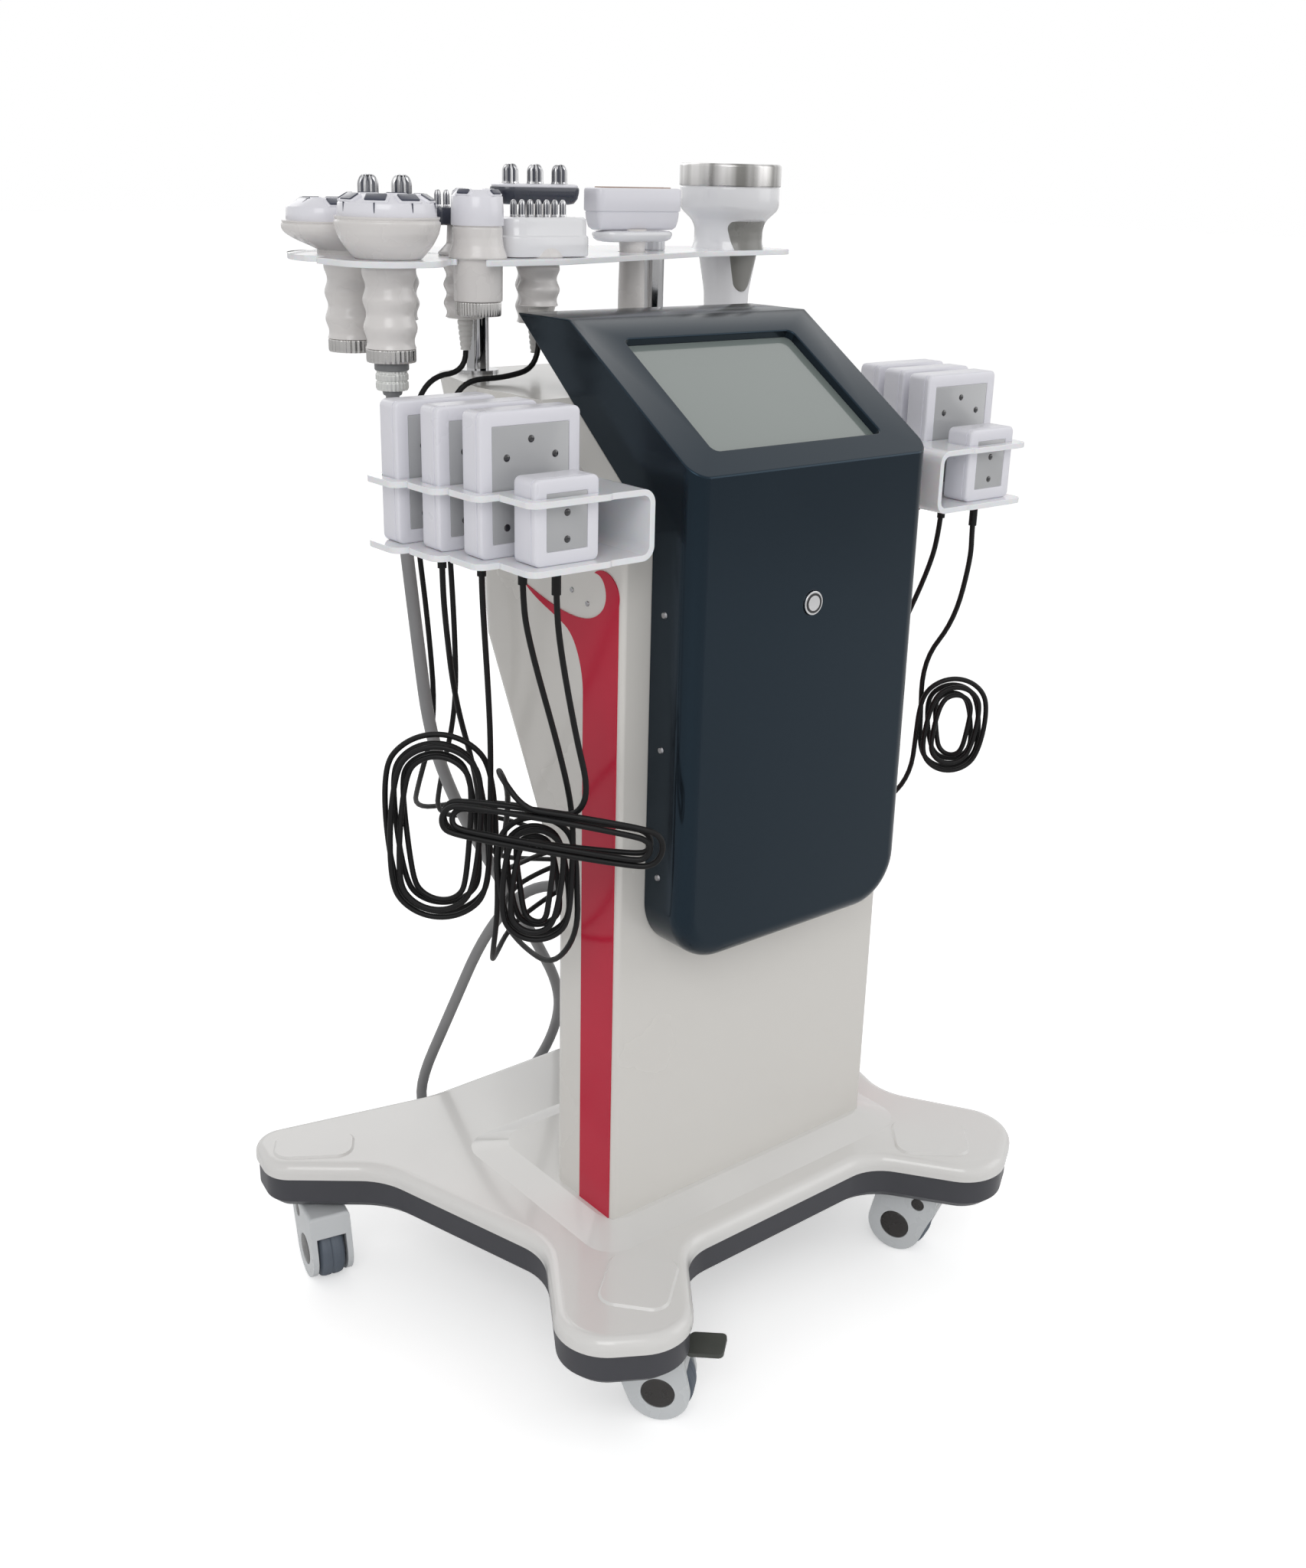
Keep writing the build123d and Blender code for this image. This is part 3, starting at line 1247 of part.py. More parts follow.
for side_name, side in (("left", 1), ("right", -1)):
    # Side tray: one bent sheet with a slotted top and a shelf below
    with BuildPart() as side_tray:
        with BuildSketch(Plane.XZ.offset(-bracket_back)):
            with Locations(
                (-side * (column_half_width + bracket_bed), bracket_top_z - bracket_height / 2)
            ):
                RectangleRounded(2 * bracket_bed, bracket_height, bracket_bend)
                RectangleRounded(
                    2 * (bracket_bed - bracket_wall), bracket_height - 2 * bracket_wall,
                    bracket_bend - bracket_wall, mode=Mode.SUBTRACT,
                )
                with Locations((-side * bracket_bed / 2, 0)):
                    Rectangle(bracket_bed, bracket_height, mode=Mode.SUBTRACT)
        extrude(amount=bracket_back - bracket_front)
        for z in (shelf_z - bracket_wall, bracket_top_z - bracket_wall):
            with BuildSketch(Plane.XY.offset(z)):
                for _, x, y, width, thickness, _ in pads:
                    with Locations((side * x, y)):
                        RectangleRounded(
                            width + 2 * (slot_ease + bracket_lip),
                            thickness + 2 * (slot_ease + bracket_lip), bracket_corner,
                        )
            extrude(amount=bracket_wall)
        with BuildSketch(Plane.XY.offset(bracket_top_z - bracket_wall)):
            for _, x, y, width, thickness, _ in pads:
                with Locations((side * x, y)):
                    RectangleRounded(
                        width + 2 * slot_ease, thickness + 2 * slot_ease, pad_round + slot_ease
                    )
        extrude(amount=bracket_wall, mode=Mode.SUBTRACT)
        with BuildSketch(Plane.XY.offset(shelf_z - bracket_wall)):
            with Locations(*[(side * x, y) for _, x, y, _, _, _ in pads]):
                Circle(nub_hole / 2)
        extrude(amount=bracket_wall, mode=Mode.SUBTRACT)
    save(side_tray.part, f"side_tray_{side_name}")

    # Pads with a shallow window and lenses on the front and a cable nub below
    for name, x, y, width, thickness, height in pads:
        centre = (side * x, y)
        with BuildPart() as pad:
            with BuildSketch(Plane.XY.offset(shelf_z)):
                with Locations(centre):
                    RectangleRounded(width, thickness, pad_round)
            extrude(amount=height)
            fillet(pad.edges().group_by(Axis.Z)[-1], pad_edge)
            with BuildSketch(Plane.XY.offset(shelf_z - nub_length)):
                with Locations(centre):
                    Circle(nub_diameter / 2)
            extrude(amount=nub_length)
            window = Plane.XZ.offset(thickness / 2 - y)
            middle = shelf_z + height / 2
            with BuildSketch(window):
                with Locations((side * x, middle)):
                    RectangleRounded(
                        width - 2 * window_inset, height - 2 * window_inset, pad_round
                    )
            extrude(amount=-window_depth, mode=Mode.SUBTRACT)
            with BuildSketch(window.offset(-window_depth)):
                with Locations((side * x, middle)):
                    lens_pitch = width / 4
                    with GridLocations(lens_pitch, 2 * lens_pitch, 2 if width < pad_width else 3, 2):
                        Circle(lens_diameter / 2)
            extrude(amount=-lens_depth, mode=Mode.SUBTRACT)
        save(pad.part, f"{name}_{side_name}")


# Cables: free stretches are tubes with wide bends, what is gathered up lies in hanks
def bend_radii(points):
    """Radius of every bend of a route, from the shorter run beside it and its turn."""
    radii = []
    for before, here, after in zip(points, points[1:], points[2:]):
        run_in, run_out = here - before, after - here
        half_turn = radians(run_in.get_angle(run_out)) / 2
        radii.append(bend_share * min(run_in.length, run_out.length) / tan(half_turn))
    return radii


def tube(name, points, diameter):
    """Cable along a route, with its length and tightest bend printed."""
    points = [Vector(*point) for point in points]
    radii = bend_radii(points)
    with BuildPart() as cord:
        with BuildLine() as route:
            FilletPolyline(*points, radius=radii)
        with BuildSketch(Plane(origin=points[0], z_dir=points[1] - points[0])):
            Circle(diameter / 2)
        sweep(path=route.wire())
    share = cord.part.volume / (pi * diameter**2 / 4 * route.wire().length)
    print(name, "length", round(route.wire().length), "least radius", round(min(radii), 1),
          "volume share", round(share, 3))
    return cord.part


def biarc(start, start_way, end, end_way):
    """Two arcs that leave start along start_way and reach end along end_way."""
    across, ways = end - start, start_way + end_way
    a, b = 2 * (1 - start_way.dot(end_way)), across.dot(ways)
    reach = (sqrt(b**2 + a * across.dot(across)) - b) / a
    joint = (start + end) * 0.5 + (start_way - end_way) * (reach / 2)
    TangentArc(start, joint, tangent=start_way)
    TangentArc(end, joint, tangent=end_way * -1)


def hank_axes(hank):
    """Long, cross and thickness directions of a hank."""
    tilt = radians(hank["tilt"])
    level_way = Vector(*hank_right_way, 0).normalized()
    long_way = level_way * cos(tilt) + Vector(0, 0, sin(tilt))
    cross_way = (level_way * -sin(tilt) + Vector(0, 0, cos(tilt))) * hank["side"]
    return long_way, cross_way, long_way.cross(cross_way)


def hank_key(hank, quarter):
    """Place and direction on a hank's cable after a count of quarter turns."""
    pitch = hank["pitch"]
    inward = 4 * hank["turns"]
    shrink = min(quarter, inward) - max(quarter - inward - 2, 0)
    climb = min(max(quarter - inward, 0), 2) / 2
    angle = pi / 2 * (1 + quarter)
    long_half = hank["long"] - pitch * shrink / 4
    cross_half = hank["wide"] - pitch * shrink / 4
    steady = 0 if inward < quarter < inward + 2 else (1 if quarter >= inward + 2 else -1)
    slope = steady * pitch / (2 * pi)
    rise = pitch / 2 if climb == 0.5 else 0
    long_way, cross_way, thick_way = hank_axes(hank)
    place = (
        Vector(*hank["centre"]) + long_way * (long_half * cos(angle))
        + cross_way * (cross_half * sin(angle)) + thick_way * (pitch * climb)
    )
    way = (
        long_way * (slope * cos(angle) - long_half * sin(angle))
        + cross_way * (slope * sin(angle) + cross_half * cos(angle)) + thick_way * rise
    )
    return place, way.normalized()


def hank_cable(name, hank):
    """Cable that spirals inwards, climbs one layer and spirals out again."""
    quarters = 8 * hank["turns"] + 4
    keys = [hank_key(hank, quarter) for quarter in range(quarters + 1)]
    with BuildPart() as coil:
        with BuildLine() as route:
            for (start, start_way), (end, end_way) in zip(keys, keys[1:]):
                biarc(start, start_way, end, end_way)
        with BuildSketch(Plane(origin=keys[0][0], z_dir=keys[0][1])):
            Circle(cable_diameter / 2)
        sweep(path=route.wire())
    wire = route.wire()
    steps = quarters * 12
    points = [wire @ (i / steps) for i in range(steps + 1)]
    apart = int(steps / quarters * 2)
    gap = min(
        (points[i] - points[j]).length
        for i in range(steps + 1) for j in range(i + apart, steps + 1)
    ) - cable_diameter
    share = coil.part.volume / (pi * cable_diameter**2 / 4 * wire.length)
    print(name, "length", round(wire.length), "least gap", round(gap, 2),
          "volume share", round(share, 3))
    return coil.part, keys[0], keys[-1]


def to_socket(column, row, bulge):
    """Last points of a route, into one of the sockets of the rear panel."""
    x = (column - (socket_columns - 1) / 2) * socket_pitch_x
    z = socket_middle_z + (row - 1 / 2) * socket_pitch_z
    return [(x, column_back + bulge, z), (x, column_back + rear_panel_plate, z)]


hanks = {}
for name, hank in (
    ("upright_hank", upright_hank), ("level_hank", level_hank),
    ("left_hank", left_hank), ("right_hank", right_hank),
):
    coil, entry, leave = hank_cable(name, hank)
    save(coil, name)
    hanks[name] = (entry, leave)


def beside(key, distance):
    """Point a distance along a hank's end direction from that end."""
    place, way = key
    return place + way * distance


def nub_points(name, side=1):
    """Lower end of a pad's nub and a point straight below it."""
    _, x, y, *_ = next(pad for pad in pads if pad[0] == name)
    return [(side * x, y, shelf_z - nub_length), (side * x, y, shelf_z - nub_length - nub_drop)]


entries = {name: entry for name, (entry, _) in hanks.items()}
exits = {name: leave for name, (_, leave) in hanks.items()}


def into(hank, distance):
    """Last points of a lead: straight onto the first turn of a hank."""
    return [beside(entries[hank], -distance), tuple(entries[hank][0])]


def out_of(hank, distance):
    """First points of a lead: straight off the last turn of a hank."""
    return [tuple(exits[hank][0]), beside(exits[hank], distance)]


left_leads = {
    "small pad to level hank": [
        *nub_points("small_pad"), *small_pad_run, *into("level_hank", small_pad_lead_in),
    ],
    "large pad 1 to upright hank": [
        *nub_points("large_pad_1"), *pad_1_run, *into("upright_hank", pad_1_lead_in),
    ],
    "large pad 2 to left hank": [
        *nub_points("large_pad_2"), *pad_2_run, *into("left_hank", pad_2_lead_in),
    ],
    "large pad 3 to socket": [
        *nub_points("large_pad_3"), *pad_3_run, *to_socket(1, 0, pad_3_bulge),
    ],
    "level hank to socket": [
        *out_of("level_hank", level_lead_out), *level_hank_run, *to_socket(1, 1, level_bulge),
    ],
    "upright hank to socket": [
        *out_of("upright_hank", upright_lead_out), *upright_hank_run,
        *to_socket(0, 1, upright_bulge),
    ],
    "left hank to socket": [
        *out_of("left_hank", left_lead_out), *left_hank_run, *to_socket(0, 0, left_bulge),
    ],
}
with BuildPart() as pad_leads_left:
    for lead, points in left_leads.items():
        add(tube(lead, points, cable_diameter))
save(pad_leads_left.part, "pad_leads_left")

right_leads = {
    "small pad to right hank": [
        *nub_points("small_pad", -1), *right_small_pad_run, *into("right_hank", right_lead_in),
    ],
    "right hank to socket": [
        *out_of("right_hank", right_lead_out), *right_hank_run, *to_socket(4, 0, right_bulge),
    ],
    "large pad 1 to socket": [
        *nub_points("large_pad_1", -1), *right_pad_1_run, *to_socket(4, 1, right_pad_1_bulge),
    ],
    "large pad 2 to socket": [
        *nub_points("large_pad_2", -1), *right_pad_2_run, *to_socket(3, 1, right_pad_2_bulge),
    ],
}
with BuildPart() as pad_leads_right:
    for lead, points in right_leads.items():
        add(tube(lead, points, cable_diameter))
save(pad_leads_right.part, "pad_leads_right")

row_tip_z = tray_top_z + row_probe_bottom - relief_length
side_tip_z = tray_top_z + side_probe_bottom - relief_length
handpiece_routes = {
    "row probe": [
        (*row_place, row_tip_z), *row_probe_run, *to_socket(2, 0, row_probe_bulge),
    ],
    "side probe": [
        (*side_place, side_tip_z), *side_probe_run, *to_socket(2, 1, side_probe_bulge),
    ],
}
with BuildPart() as handpiece_leads:
    for lead, points in handpiece_routes.items():
        add(tube(lead, points, cable_diameter))
save(handpiece_leads.part, "handpiece_leads")

hose_end_y = column_back + rear_panel_plate + socket_length
hose_route = [
    (*vacuum_place, tray_top_z + nut_bottom), *hose_run,
    (hose_port_x, hose_entry_y, hose_port_z), (hose_port_x, hose_end_y, hose_port_z),
]
with BuildPart() as vacuum_hose:
    add(tube("vacuum hose", hose_route, hose_diameter))
save(vacuum_hose.part, "vacuum_hose")
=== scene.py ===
# %% [markdown]
# # A salon treatment cart
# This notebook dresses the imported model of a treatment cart: a column with a sloped touch screen,
# a tray of lift-out handpieces and a bracket of pads on each side, all on four casters.
# Lengths are metres. X runs to the right of the screen, Y to the back and Z up from the floor.
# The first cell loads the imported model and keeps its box.

import json
import math

import bmesh
import bpy
import numpy as np
from mathutils import Matrix, Vector

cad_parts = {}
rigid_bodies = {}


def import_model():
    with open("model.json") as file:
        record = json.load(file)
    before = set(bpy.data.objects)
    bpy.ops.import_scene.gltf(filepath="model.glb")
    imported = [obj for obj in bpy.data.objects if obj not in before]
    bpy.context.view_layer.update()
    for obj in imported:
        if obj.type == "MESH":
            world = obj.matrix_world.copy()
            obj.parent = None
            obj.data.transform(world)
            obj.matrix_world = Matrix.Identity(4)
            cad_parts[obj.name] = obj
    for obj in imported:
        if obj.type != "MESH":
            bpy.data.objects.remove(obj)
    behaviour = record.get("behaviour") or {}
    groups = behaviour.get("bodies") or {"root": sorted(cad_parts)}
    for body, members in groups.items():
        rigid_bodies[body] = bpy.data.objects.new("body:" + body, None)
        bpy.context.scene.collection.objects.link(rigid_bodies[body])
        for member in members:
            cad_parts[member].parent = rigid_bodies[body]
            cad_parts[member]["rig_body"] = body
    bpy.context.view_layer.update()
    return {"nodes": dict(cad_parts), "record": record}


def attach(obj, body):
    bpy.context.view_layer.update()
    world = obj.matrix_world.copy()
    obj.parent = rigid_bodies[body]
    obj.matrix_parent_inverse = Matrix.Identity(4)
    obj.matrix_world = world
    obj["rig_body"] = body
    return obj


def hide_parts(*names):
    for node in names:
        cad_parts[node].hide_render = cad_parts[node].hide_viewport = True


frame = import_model()

# %% [markdown]
# ## Camera
# The camera stands where the photograph was taken from: to the left of the screen, a little above
# the tray, looking down by 20.5 degrees. A focal length of 2150 pixels on the long side of
# 2048 pixels becomes a lens length on a 36 mm sensor.

# %% Camera
camera_place = Vector((-1.1688, -1.3799, 1.280))
camera_yaw, camera_pitch, camera_roll = (math.radians(a) for a in (39.68, 20.49, 1.44))
focal_pixels, long_side_pixels, sensor_width = 2150, 2048, 36.0


def camera_axes(yaw, pitch, roll):
    """Right, up and forward directions of a camera.

    The forward direction is (sin yaw cos pitch, cos yaw cos pitch, -sin pitch). The other two are
    turned about it by the roll.
    """
    forward = Vector((
        math.sin(yaw) * math.cos(pitch), math.cos(yaw) * math.cos(pitch), -math.sin(pitch),
    ))
    level = Vector((math.cos(yaw), -math.sin(yaw), 0))
    upright = level.cross(forward)
    right = level * math.cos(roll) + upright * math.sin(roll)
    up = upright * math.cos(roll) - level * math.sin(roll)
    return right, up, forward


camera_data = bpy.data.cameras.new("camera")
camera_data.sensor_width = sensor_width
camera_data.lens = focal_pixels / long_side_pixels * sensor_width
camera = bpy.data.objects.new("camera", camera_data)
bpy.context.scene.collection.objects.link(camera)
right, up, forward = camera_axes(camera_yaw, camera_pitch, camera_roll)
camera.matrix_world = Matrix((
    (right.x, up.x, -forward.x, camera_place.x),
    (right.y, up.y, -forward.y, camera_place.y),
    (right.z, up.z, -forward.z, camera_place.z),
    (0, 0, 0, 1),
))
bpy.context.scene.camera = camera
bpy.context.scene.view_settings.view_transform = "Standard"
print("lens", round(camera_data.lens, 3), "mm")

# %% [markdown]
# ## Cords
# Every cable is one smooth spline. Its control points are the corners of its route. A cable that is
# gathered up in a hank adds the points of an oval spiral, one every ten millimetres: inwards, over
# to a second layer, and outwards again.

# %% Cord tools
cable_width, hose_width = 0.006, 0.014
footprint_shift = Vector((0, -0.0291, 0))
steps_per_turn, route_spacing = 96, 10.0
hanging_way = (0.77, -0.64, 0)
straight_gain, least_half_width = 1.6, 12.5
slack_pitch, askew_arc, settling_share = 2.2, 450, 0.16
fan_reach, fan_phase, fan_wander = 3.4, 0.7, 0.3


def hank(centre, long, wide, turns, pitch, tilt, side, loose=1.0):
    """Points of a hank, in millimetres, from sizes in millimetres and degrees.

    After q quarter turns the place is centre + X l + W sin(a) c + p k t, with a = 90 (1 + q)
    degrees and X = (L - W) sin(90 g) + W cos(a), where g is 1.6 cos(a) held between -1 and 1. That
    is a long oval with round ends, so that no fold is much tighter than W. L and W
    shrink by a little more than p / 4 a quarter on the way in and grow again on the way out, but W
    stays above two cable widths. k climbs from 0 to 1 between the layers, and l, c and t are the
    hank's three axes. Nothing ties the turns, so the two layers lie askew: each is turned in its
    plane by a few degrees, one way and the other, and leans out of it like a fan. Both fade out
    near the ends of the run. The points are then spaced evenly, because a smooth spline bends
    hardest where a long leg meets a short one.
    """
    lean = math.radians(tilt)
    level_way = Vector(hanging_way).normalized()
    long_way = level_way * math.cos(lean) + Vector((0, 0, math.sin(lean)))
    cross_way = (level_way * -math.sin(lean) + Vector((0, 0, math.cos(lean)))) * side
    thick_way = long_way.cross(cross_way)
    inward = 4 * turns
    quarters = np.arange(0, 2 * inward + 4 + 1e-6, 4 / steps_per_turn)
    wound = np.minimum(quarters, inward) - np.maximum(quarters - inward - 2, 0)
    shrink = (pitch + slack_pitch * loose) / 4 * wound
    climb = np.clip(quarters - inward, 0, 2) / 2
    angle = np.pi / 2 * (1 + quarters)
    along = quarters / quarters[-1]
    near_end = np.clip(np.minimum(along, 1 - along) / settling_share, 0, 1)
    settled = near_end**2 * (3 - 2 * near_end)
    askew = np.radians(askew_arc / long) * loose * (1 - 2 * climb) * settled
    half = wide - shrink * min(1.0, (wide - least_half_width) / shrink.max())
    straight = np.sin(np.pi / 2 * np.clip(straight_gain * np.cos(angle), -1, 1))
    flat_long = (long - shrink - half) * straight + half * np.cos(angle)
    flat_wide = half * np.sin(angle)
    fan = fan_reach * loose * settled * (2 * climb - 1) * (
        1 + np.sin(angle - fan_phase) + fan_wander * np.sin(quarters)
    )
    shares = np.stack([
        flat_long * np.cos(askew) - flat_wide * np.sin(askew),
        flat_long * np.sin(askew) + flat_wide * np.cos(askew),
        pitch * climb + fan,
    ], axis=1)
    places = np.array(centre) + shares @ np.array([long_way, cross_way, thick_way])
    run = np.concatenate([[0], np.cumsum(np.linalg.norm(np.diff(places, axis=0), axis=1))])
    even = np.linspace(0, run[-1], int(run[-1] / route_spacing) + 1)
    places = np.stack([np.interp(even, run, places[:, axis]) for axis in range(3)], axis=1)
    return [tuple(place) for place in places]


def make_cord(name, route, width, finish, nodes):
    """Smooth cord along a route in millimetres."""
    data = bpy.data.curves.new(name, "CURVE")
    data.dimensions = "3D"
    data.bevel_depth = width / 2
    data.bevel_resolution = 5
    data.resolution_u = 6
    spline = data.splines.new("NURBS")
    spline.points.add(len(route) - 1)
    places = [Vector(point) / 1000 + footprint_shift for point in route]
    for point, place in zip(spline.points, places):
        point.co = (*place, 1)
    spline.order_u = 3
    spline.use_endpoint_u = True
    cord = bpy.data.objects.new(name, data)
    bpy.context.scene.collection.objects.link(cord)
    data.materials.append(finish)
    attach(cord, "cart")
    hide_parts(*nodes)


panel_y, socket_level, socket_columns, socket_rows = 86.0, 482.0, 34.0, 30.0
nub_level, lead_level = 929.0, 903.0


def socket_place(column, row):
    """X and Z of a socket of the rear panel, counted from its low left one."""
    return (column - 2) * socket_columns, socket_level + (row - 0.5) * socket_rows


def to_socket(column, row, bulge):
    """Last two points of a route, straight into a socket of the rear panel."""
    x, z = socket_place(column, row)
    return [(x, 83.0 + bulge, z), (x, panel_y, z)]


def from_pad(x, y):
    """First two points of a route, straight down out of a pad's nub."""
    return [(x, y, nub_level), (x, y, lead_level)]

# %% [markdown]
# ## Materials
# One node group gives every finish its life: a slow noise that shifts the colour a little, and a
# fine noise that shifts the roughness and lifts the surface. The colours, scales and amounts are
# the group's inputs, and everything that is even over a surface is set on the shader itself.

# %% Material tools
mix_first, mix_second, mix_result = 6, 7, 2


def surface_group():
    """Node group that turns object coordinates into a colour, a roughness and a normal."""
    group = bpy.data.node_groups.new("surface_life", "ShaderNodeTree")
    sockets = (
        ("Colour", "NodeSocketColor"), ("Second colour", "NodeSocketColor"),
        ("Scale", "NodeSocketFloat"), ("Grain scale", "NodeSocketFloat"),
        ("Smoothest", "NodeSocketFloat"), ("Roughest", "NodeSocketFloat"),
        ("Relief", "NodeSocketFloat"),
    )
    for label, kind in sockets:
        group.interface.new_socket(name=label, in_out="INPUT", socket_type=kind)
    for label, kind in (
        ("Colour", "NodeSocketColor"), ("Roughness", "NodeSocketFloat"),
        ("Normal", "NodeSocketVector"),
    ):
        group.interface.new_socket(name=label, in_out="OUTPUT", socket_type=kind)
    nodes, links = group.nodes, group.links
    entry, leave = nodes.new("NodeGroupInput"), nodes.new("NodeGroupOutput")
    places = nodes.new("ShaderNodeTexCoord")
    slow, fine = nodes.new("ShaderNodeTexNoise"), nodes.new("ShaderNodeTexNoise")
    slow.inputs["Detail"].default_value = 4
    fine.inputs["Detail"].default_value = 6
    blend = nodes.new("ShaderNodeMix")
    blend.data_type = "RGBA"
    spread, bump = nodes.new("ShaderNodeMapRange"), nodes.new("ShaderNodeBump")
    bump.inputs["Distance"].default_value = 0.0004
    for noise, scale in ((slow, "Scale"), (fine, "Grain scale")):
        links.new(places.outputs["Object"], noise.inputs["Vector"])
        links.new(entry.outputs[scale], noise.inputs["Scale"])
    links.new(slow.outputs["Fac"], blend.inputs["Factor"])
    links.new(entry.outputs["Colour"], blend.inputs[mix_first])
    links.new(entry.outputs["Second colour"], blend.inputs[mix_second])
    links.new(slow.outputs["Fac"], spread.inputs["Value"])
    links.new(entry.outputs["Smoothest"], spread.inputs["To Min"])
    links.new(entry.outputs["Roughest"], spread.inputs["To Max"])
    spread.interpolation_type = "SMOOTHSTEP"
    spread.inputs["From Min"].default_value = 0.2
    spread.inputs["From Max"].default_value = 0.8
    links.new(fine.outputs["Fac"], bump.inputs["Height"])
    links.new(entry.outputs["Relief"], bump.inputs["Strength"])
    links.new(blend.outputs[mix_result], leave.inputs["Colour"])
    links.new(spread.outputs["Result"], leave.inputs["Roughness"])
    links.new(bump.outputs["Normal"], leave.inputs["Normal"])
    return group


surface_life = surface_group()


def finish(name, colour, second=None, rough=(0.25, 0.4), scale=9, grain=900, relief=0.1, **even):
    """Material whose colour wanders between two tones and whose roughness wanders too."""
    made = bpy.data.materials.new(name)
    made.use_nodes = True
    nodes, links = made.node_tree.nodes, made.node_tree.links
    shader = nodes["Principled BSDF"]
    life = nodes.new("ShaderNodeGroup")
    life.node_tree = surface_life
    life.inputs["Colour"].default_value = (*colour, 1)
    life.inputs["Second colour"].default_value = (*(second or [c * 0.93 for c in colour]), 1)
    life.inputs["Scale"].default_value = scale
    life.inputs["Grain scale"].default_value = grain
    life.inputs["Smoothest"].default_value, life.inputs["Roughest"].default_value = rough
    life.inputs["Relief"].default_value = relief
    links.new(life.outputs["Colour"], shader.inputs["Base Color"])
    links.new(life.outputs["Roughness"], shader.inputs["Roughness"])
    links.new(life.outputs["Normal"], shader.inputs["Normal"])
    for socket, value in even.items():
        shader.inputs[socket.replace("_", " ")].default_value = value
    return made

# %% [markdown]
# The finishes follow the photograph: warm glossy white mouldings, a charcoal skirt, a very dark
# navy housing, white acrylic trays, polished posts and soft black cables.

# %% Materials
cover_white = finish(
    "cover_white", (0.80, 0.79, 0.77), (0.76, 0.75, 0.735), (0.16, 0.26), 7, 500, 0.04,
    Coat_Weight=0.5, Coat_Roughness=0.08,
)
# Painted shade in part: the column's white is greyer and warmer than the cover's, for the less
# light its upright faces take.
column_white = finish(
    "column_white", (0.745, 0.725, 0.69), (0.725, 0.705, 0.67), (0.20, 0.30), 5, 500, 0.04,
    Coat_Weight=0.4, Coat_Roughness=0.1,
)
skirt_charcoal = finish(
    "skirt_charcoal", (0.042, 0.043, 0.052), (0.055, 0.056, 0.066), (0.32, 0.45), 14, 1500, 0.25,
)
frame_steel = finish("frame_steel", (0.05, 0.05, 0.055), None, (0.45, 0.6), 20, 1800, 0.4)
stem_zinc = finish(
    "stem_zinc", (0.62, 0.62, 0.63), (0.5, 0.5, 0.52), (0.25, 0.45), 60, 1200, 0.2, Metallic=1.0,
)
caster_grey = finish(
    "caster_grey", (0.72, 0.74, 0.755), (0.66, 0.685, 0.70), (0.22, 0.34), 18, 900, 0.08,
    Coat_Weight=0.25, Coat_Roughness=0.15,
)
wheel_tyre = finish(
    "wheel_tyre", (0.13, 0.155, 0.19), (0.09, 0.11, 0.14), (0.5, 0.65), 30, 1400, 0.3,
)
pedal_olive = finish(
    "pedal_olive", (0.075, 0.08, 0.07), (0.055, 0.06, 0.052), (0.4, 0.55), 30, 1500, 0.35,
)
panel_grey = finish(
    "panel_grey", (0.22, 0.225, 0.235), (0.2, 0.205, 0.215), (0.45, 0.6), 20, 2600, 0.6,
)
inlet_black = finish("inlet_black", (0.022, 0.022, 0.024), None, (0.35, 0.5), 20, 1600, 0.3)
inner_metal = finish(
    "inner_metal", (0.4, 0.42, 0.44), None, (0.35, 0.5), 12, 900, 0.2, Metallic=0.8,
)
stripe_crimson = finish(
    "stripe_crimson", (0.58, 0.013, 0.047), (0.50, 0.011, 0.039), (0.14, 0.22), 12, 600, 0.03,
    Specular_IOR_Level=0.28,
)
housing_navy = finish(
    "housing_navy", (0.0065, 0.0085, 0.0115), (0.009, 0.0115, 0.015), (0.13, 0.2), 6, 500, 0.04,
    Specular_IOR_Level=0.42, Specular_Tint=(0.42, 0.72, 1.0, 1),
)
screen_glass = finish(
    "screen_glass", (0.20, 0.235, 0.22), (0.235, 0.27, 0.255), (0.1, 0.16), 3, 500, 0.01,
    Coat_Weight=0.8, Coat_Roughness=0.04,
)
screw_zinc = finish(
    "screw_zinc", (0.42, 0.42, 0.44), None, (0.2, 0.35), 80, 1500, 0.1, Metallic=1.0,
)
button_metal = finish(
    "button_metal", (0.72, 0.72, 0.73), None, (0.15, 0.28), 60, 1500, 0.1, Metallic=1.0,
)
post_chrome = finish(
    "post_chrome", (0.55, 0.55, 0.56), (0.46, 0.46, 0.47), (0.05, 0.12), 20, 700, 0.03,
    Metallic=1.0,
)
tray_white = finish(
    "tray_white", (0.86, 0.875, 0.90), (0.84, 0.855, 0.885), (0.12, 0.2), 6, 500, 0.02,
    Coat_Weight=0.4, Coat_Roughness=0.08, Subsurface_Weight=0.25, Subsurface_Scale=0.01,
)
handle_white = finish(
    "handle_white", (0.76, 0.735, 0.72), (0.72, 0.695, 0.68), (0.22, 0.32), 14, 900, 0.06,
    Coat_Weight=0.3, Coat_Roughness=0.12,
)
cup_white = finish(
    "cup_white", (0.83, 0.825, 0.875), (0.80, 0.795, 0.85), (0.18, 0.28), 14, 900, 0.05,
    Coat_Weight=0.3, Coat_Roughness=0.1,
)
probe_dark = finish(
    "probe_dark", (0.035, 0.04, 0.06), None, (0.2, 0.32), 20, 900, 0.1, Coat_Weight=0.3,
)
tip_steel = finish(
    "tip_steel", (0.50, 0.50, 0.515), (0.36, 0.36, 0.37), (0.12, 0.24), 90, 1500, 0.1,
    Metallic=1.0,
)
disc_steel = finish(
    "disc_steel", (0.50, 0.495, 0.485), (0.38, 0.375, 0.36), (0.16, 0.3), 16, 1600, 0.12,
    Metallic=1.0,
)
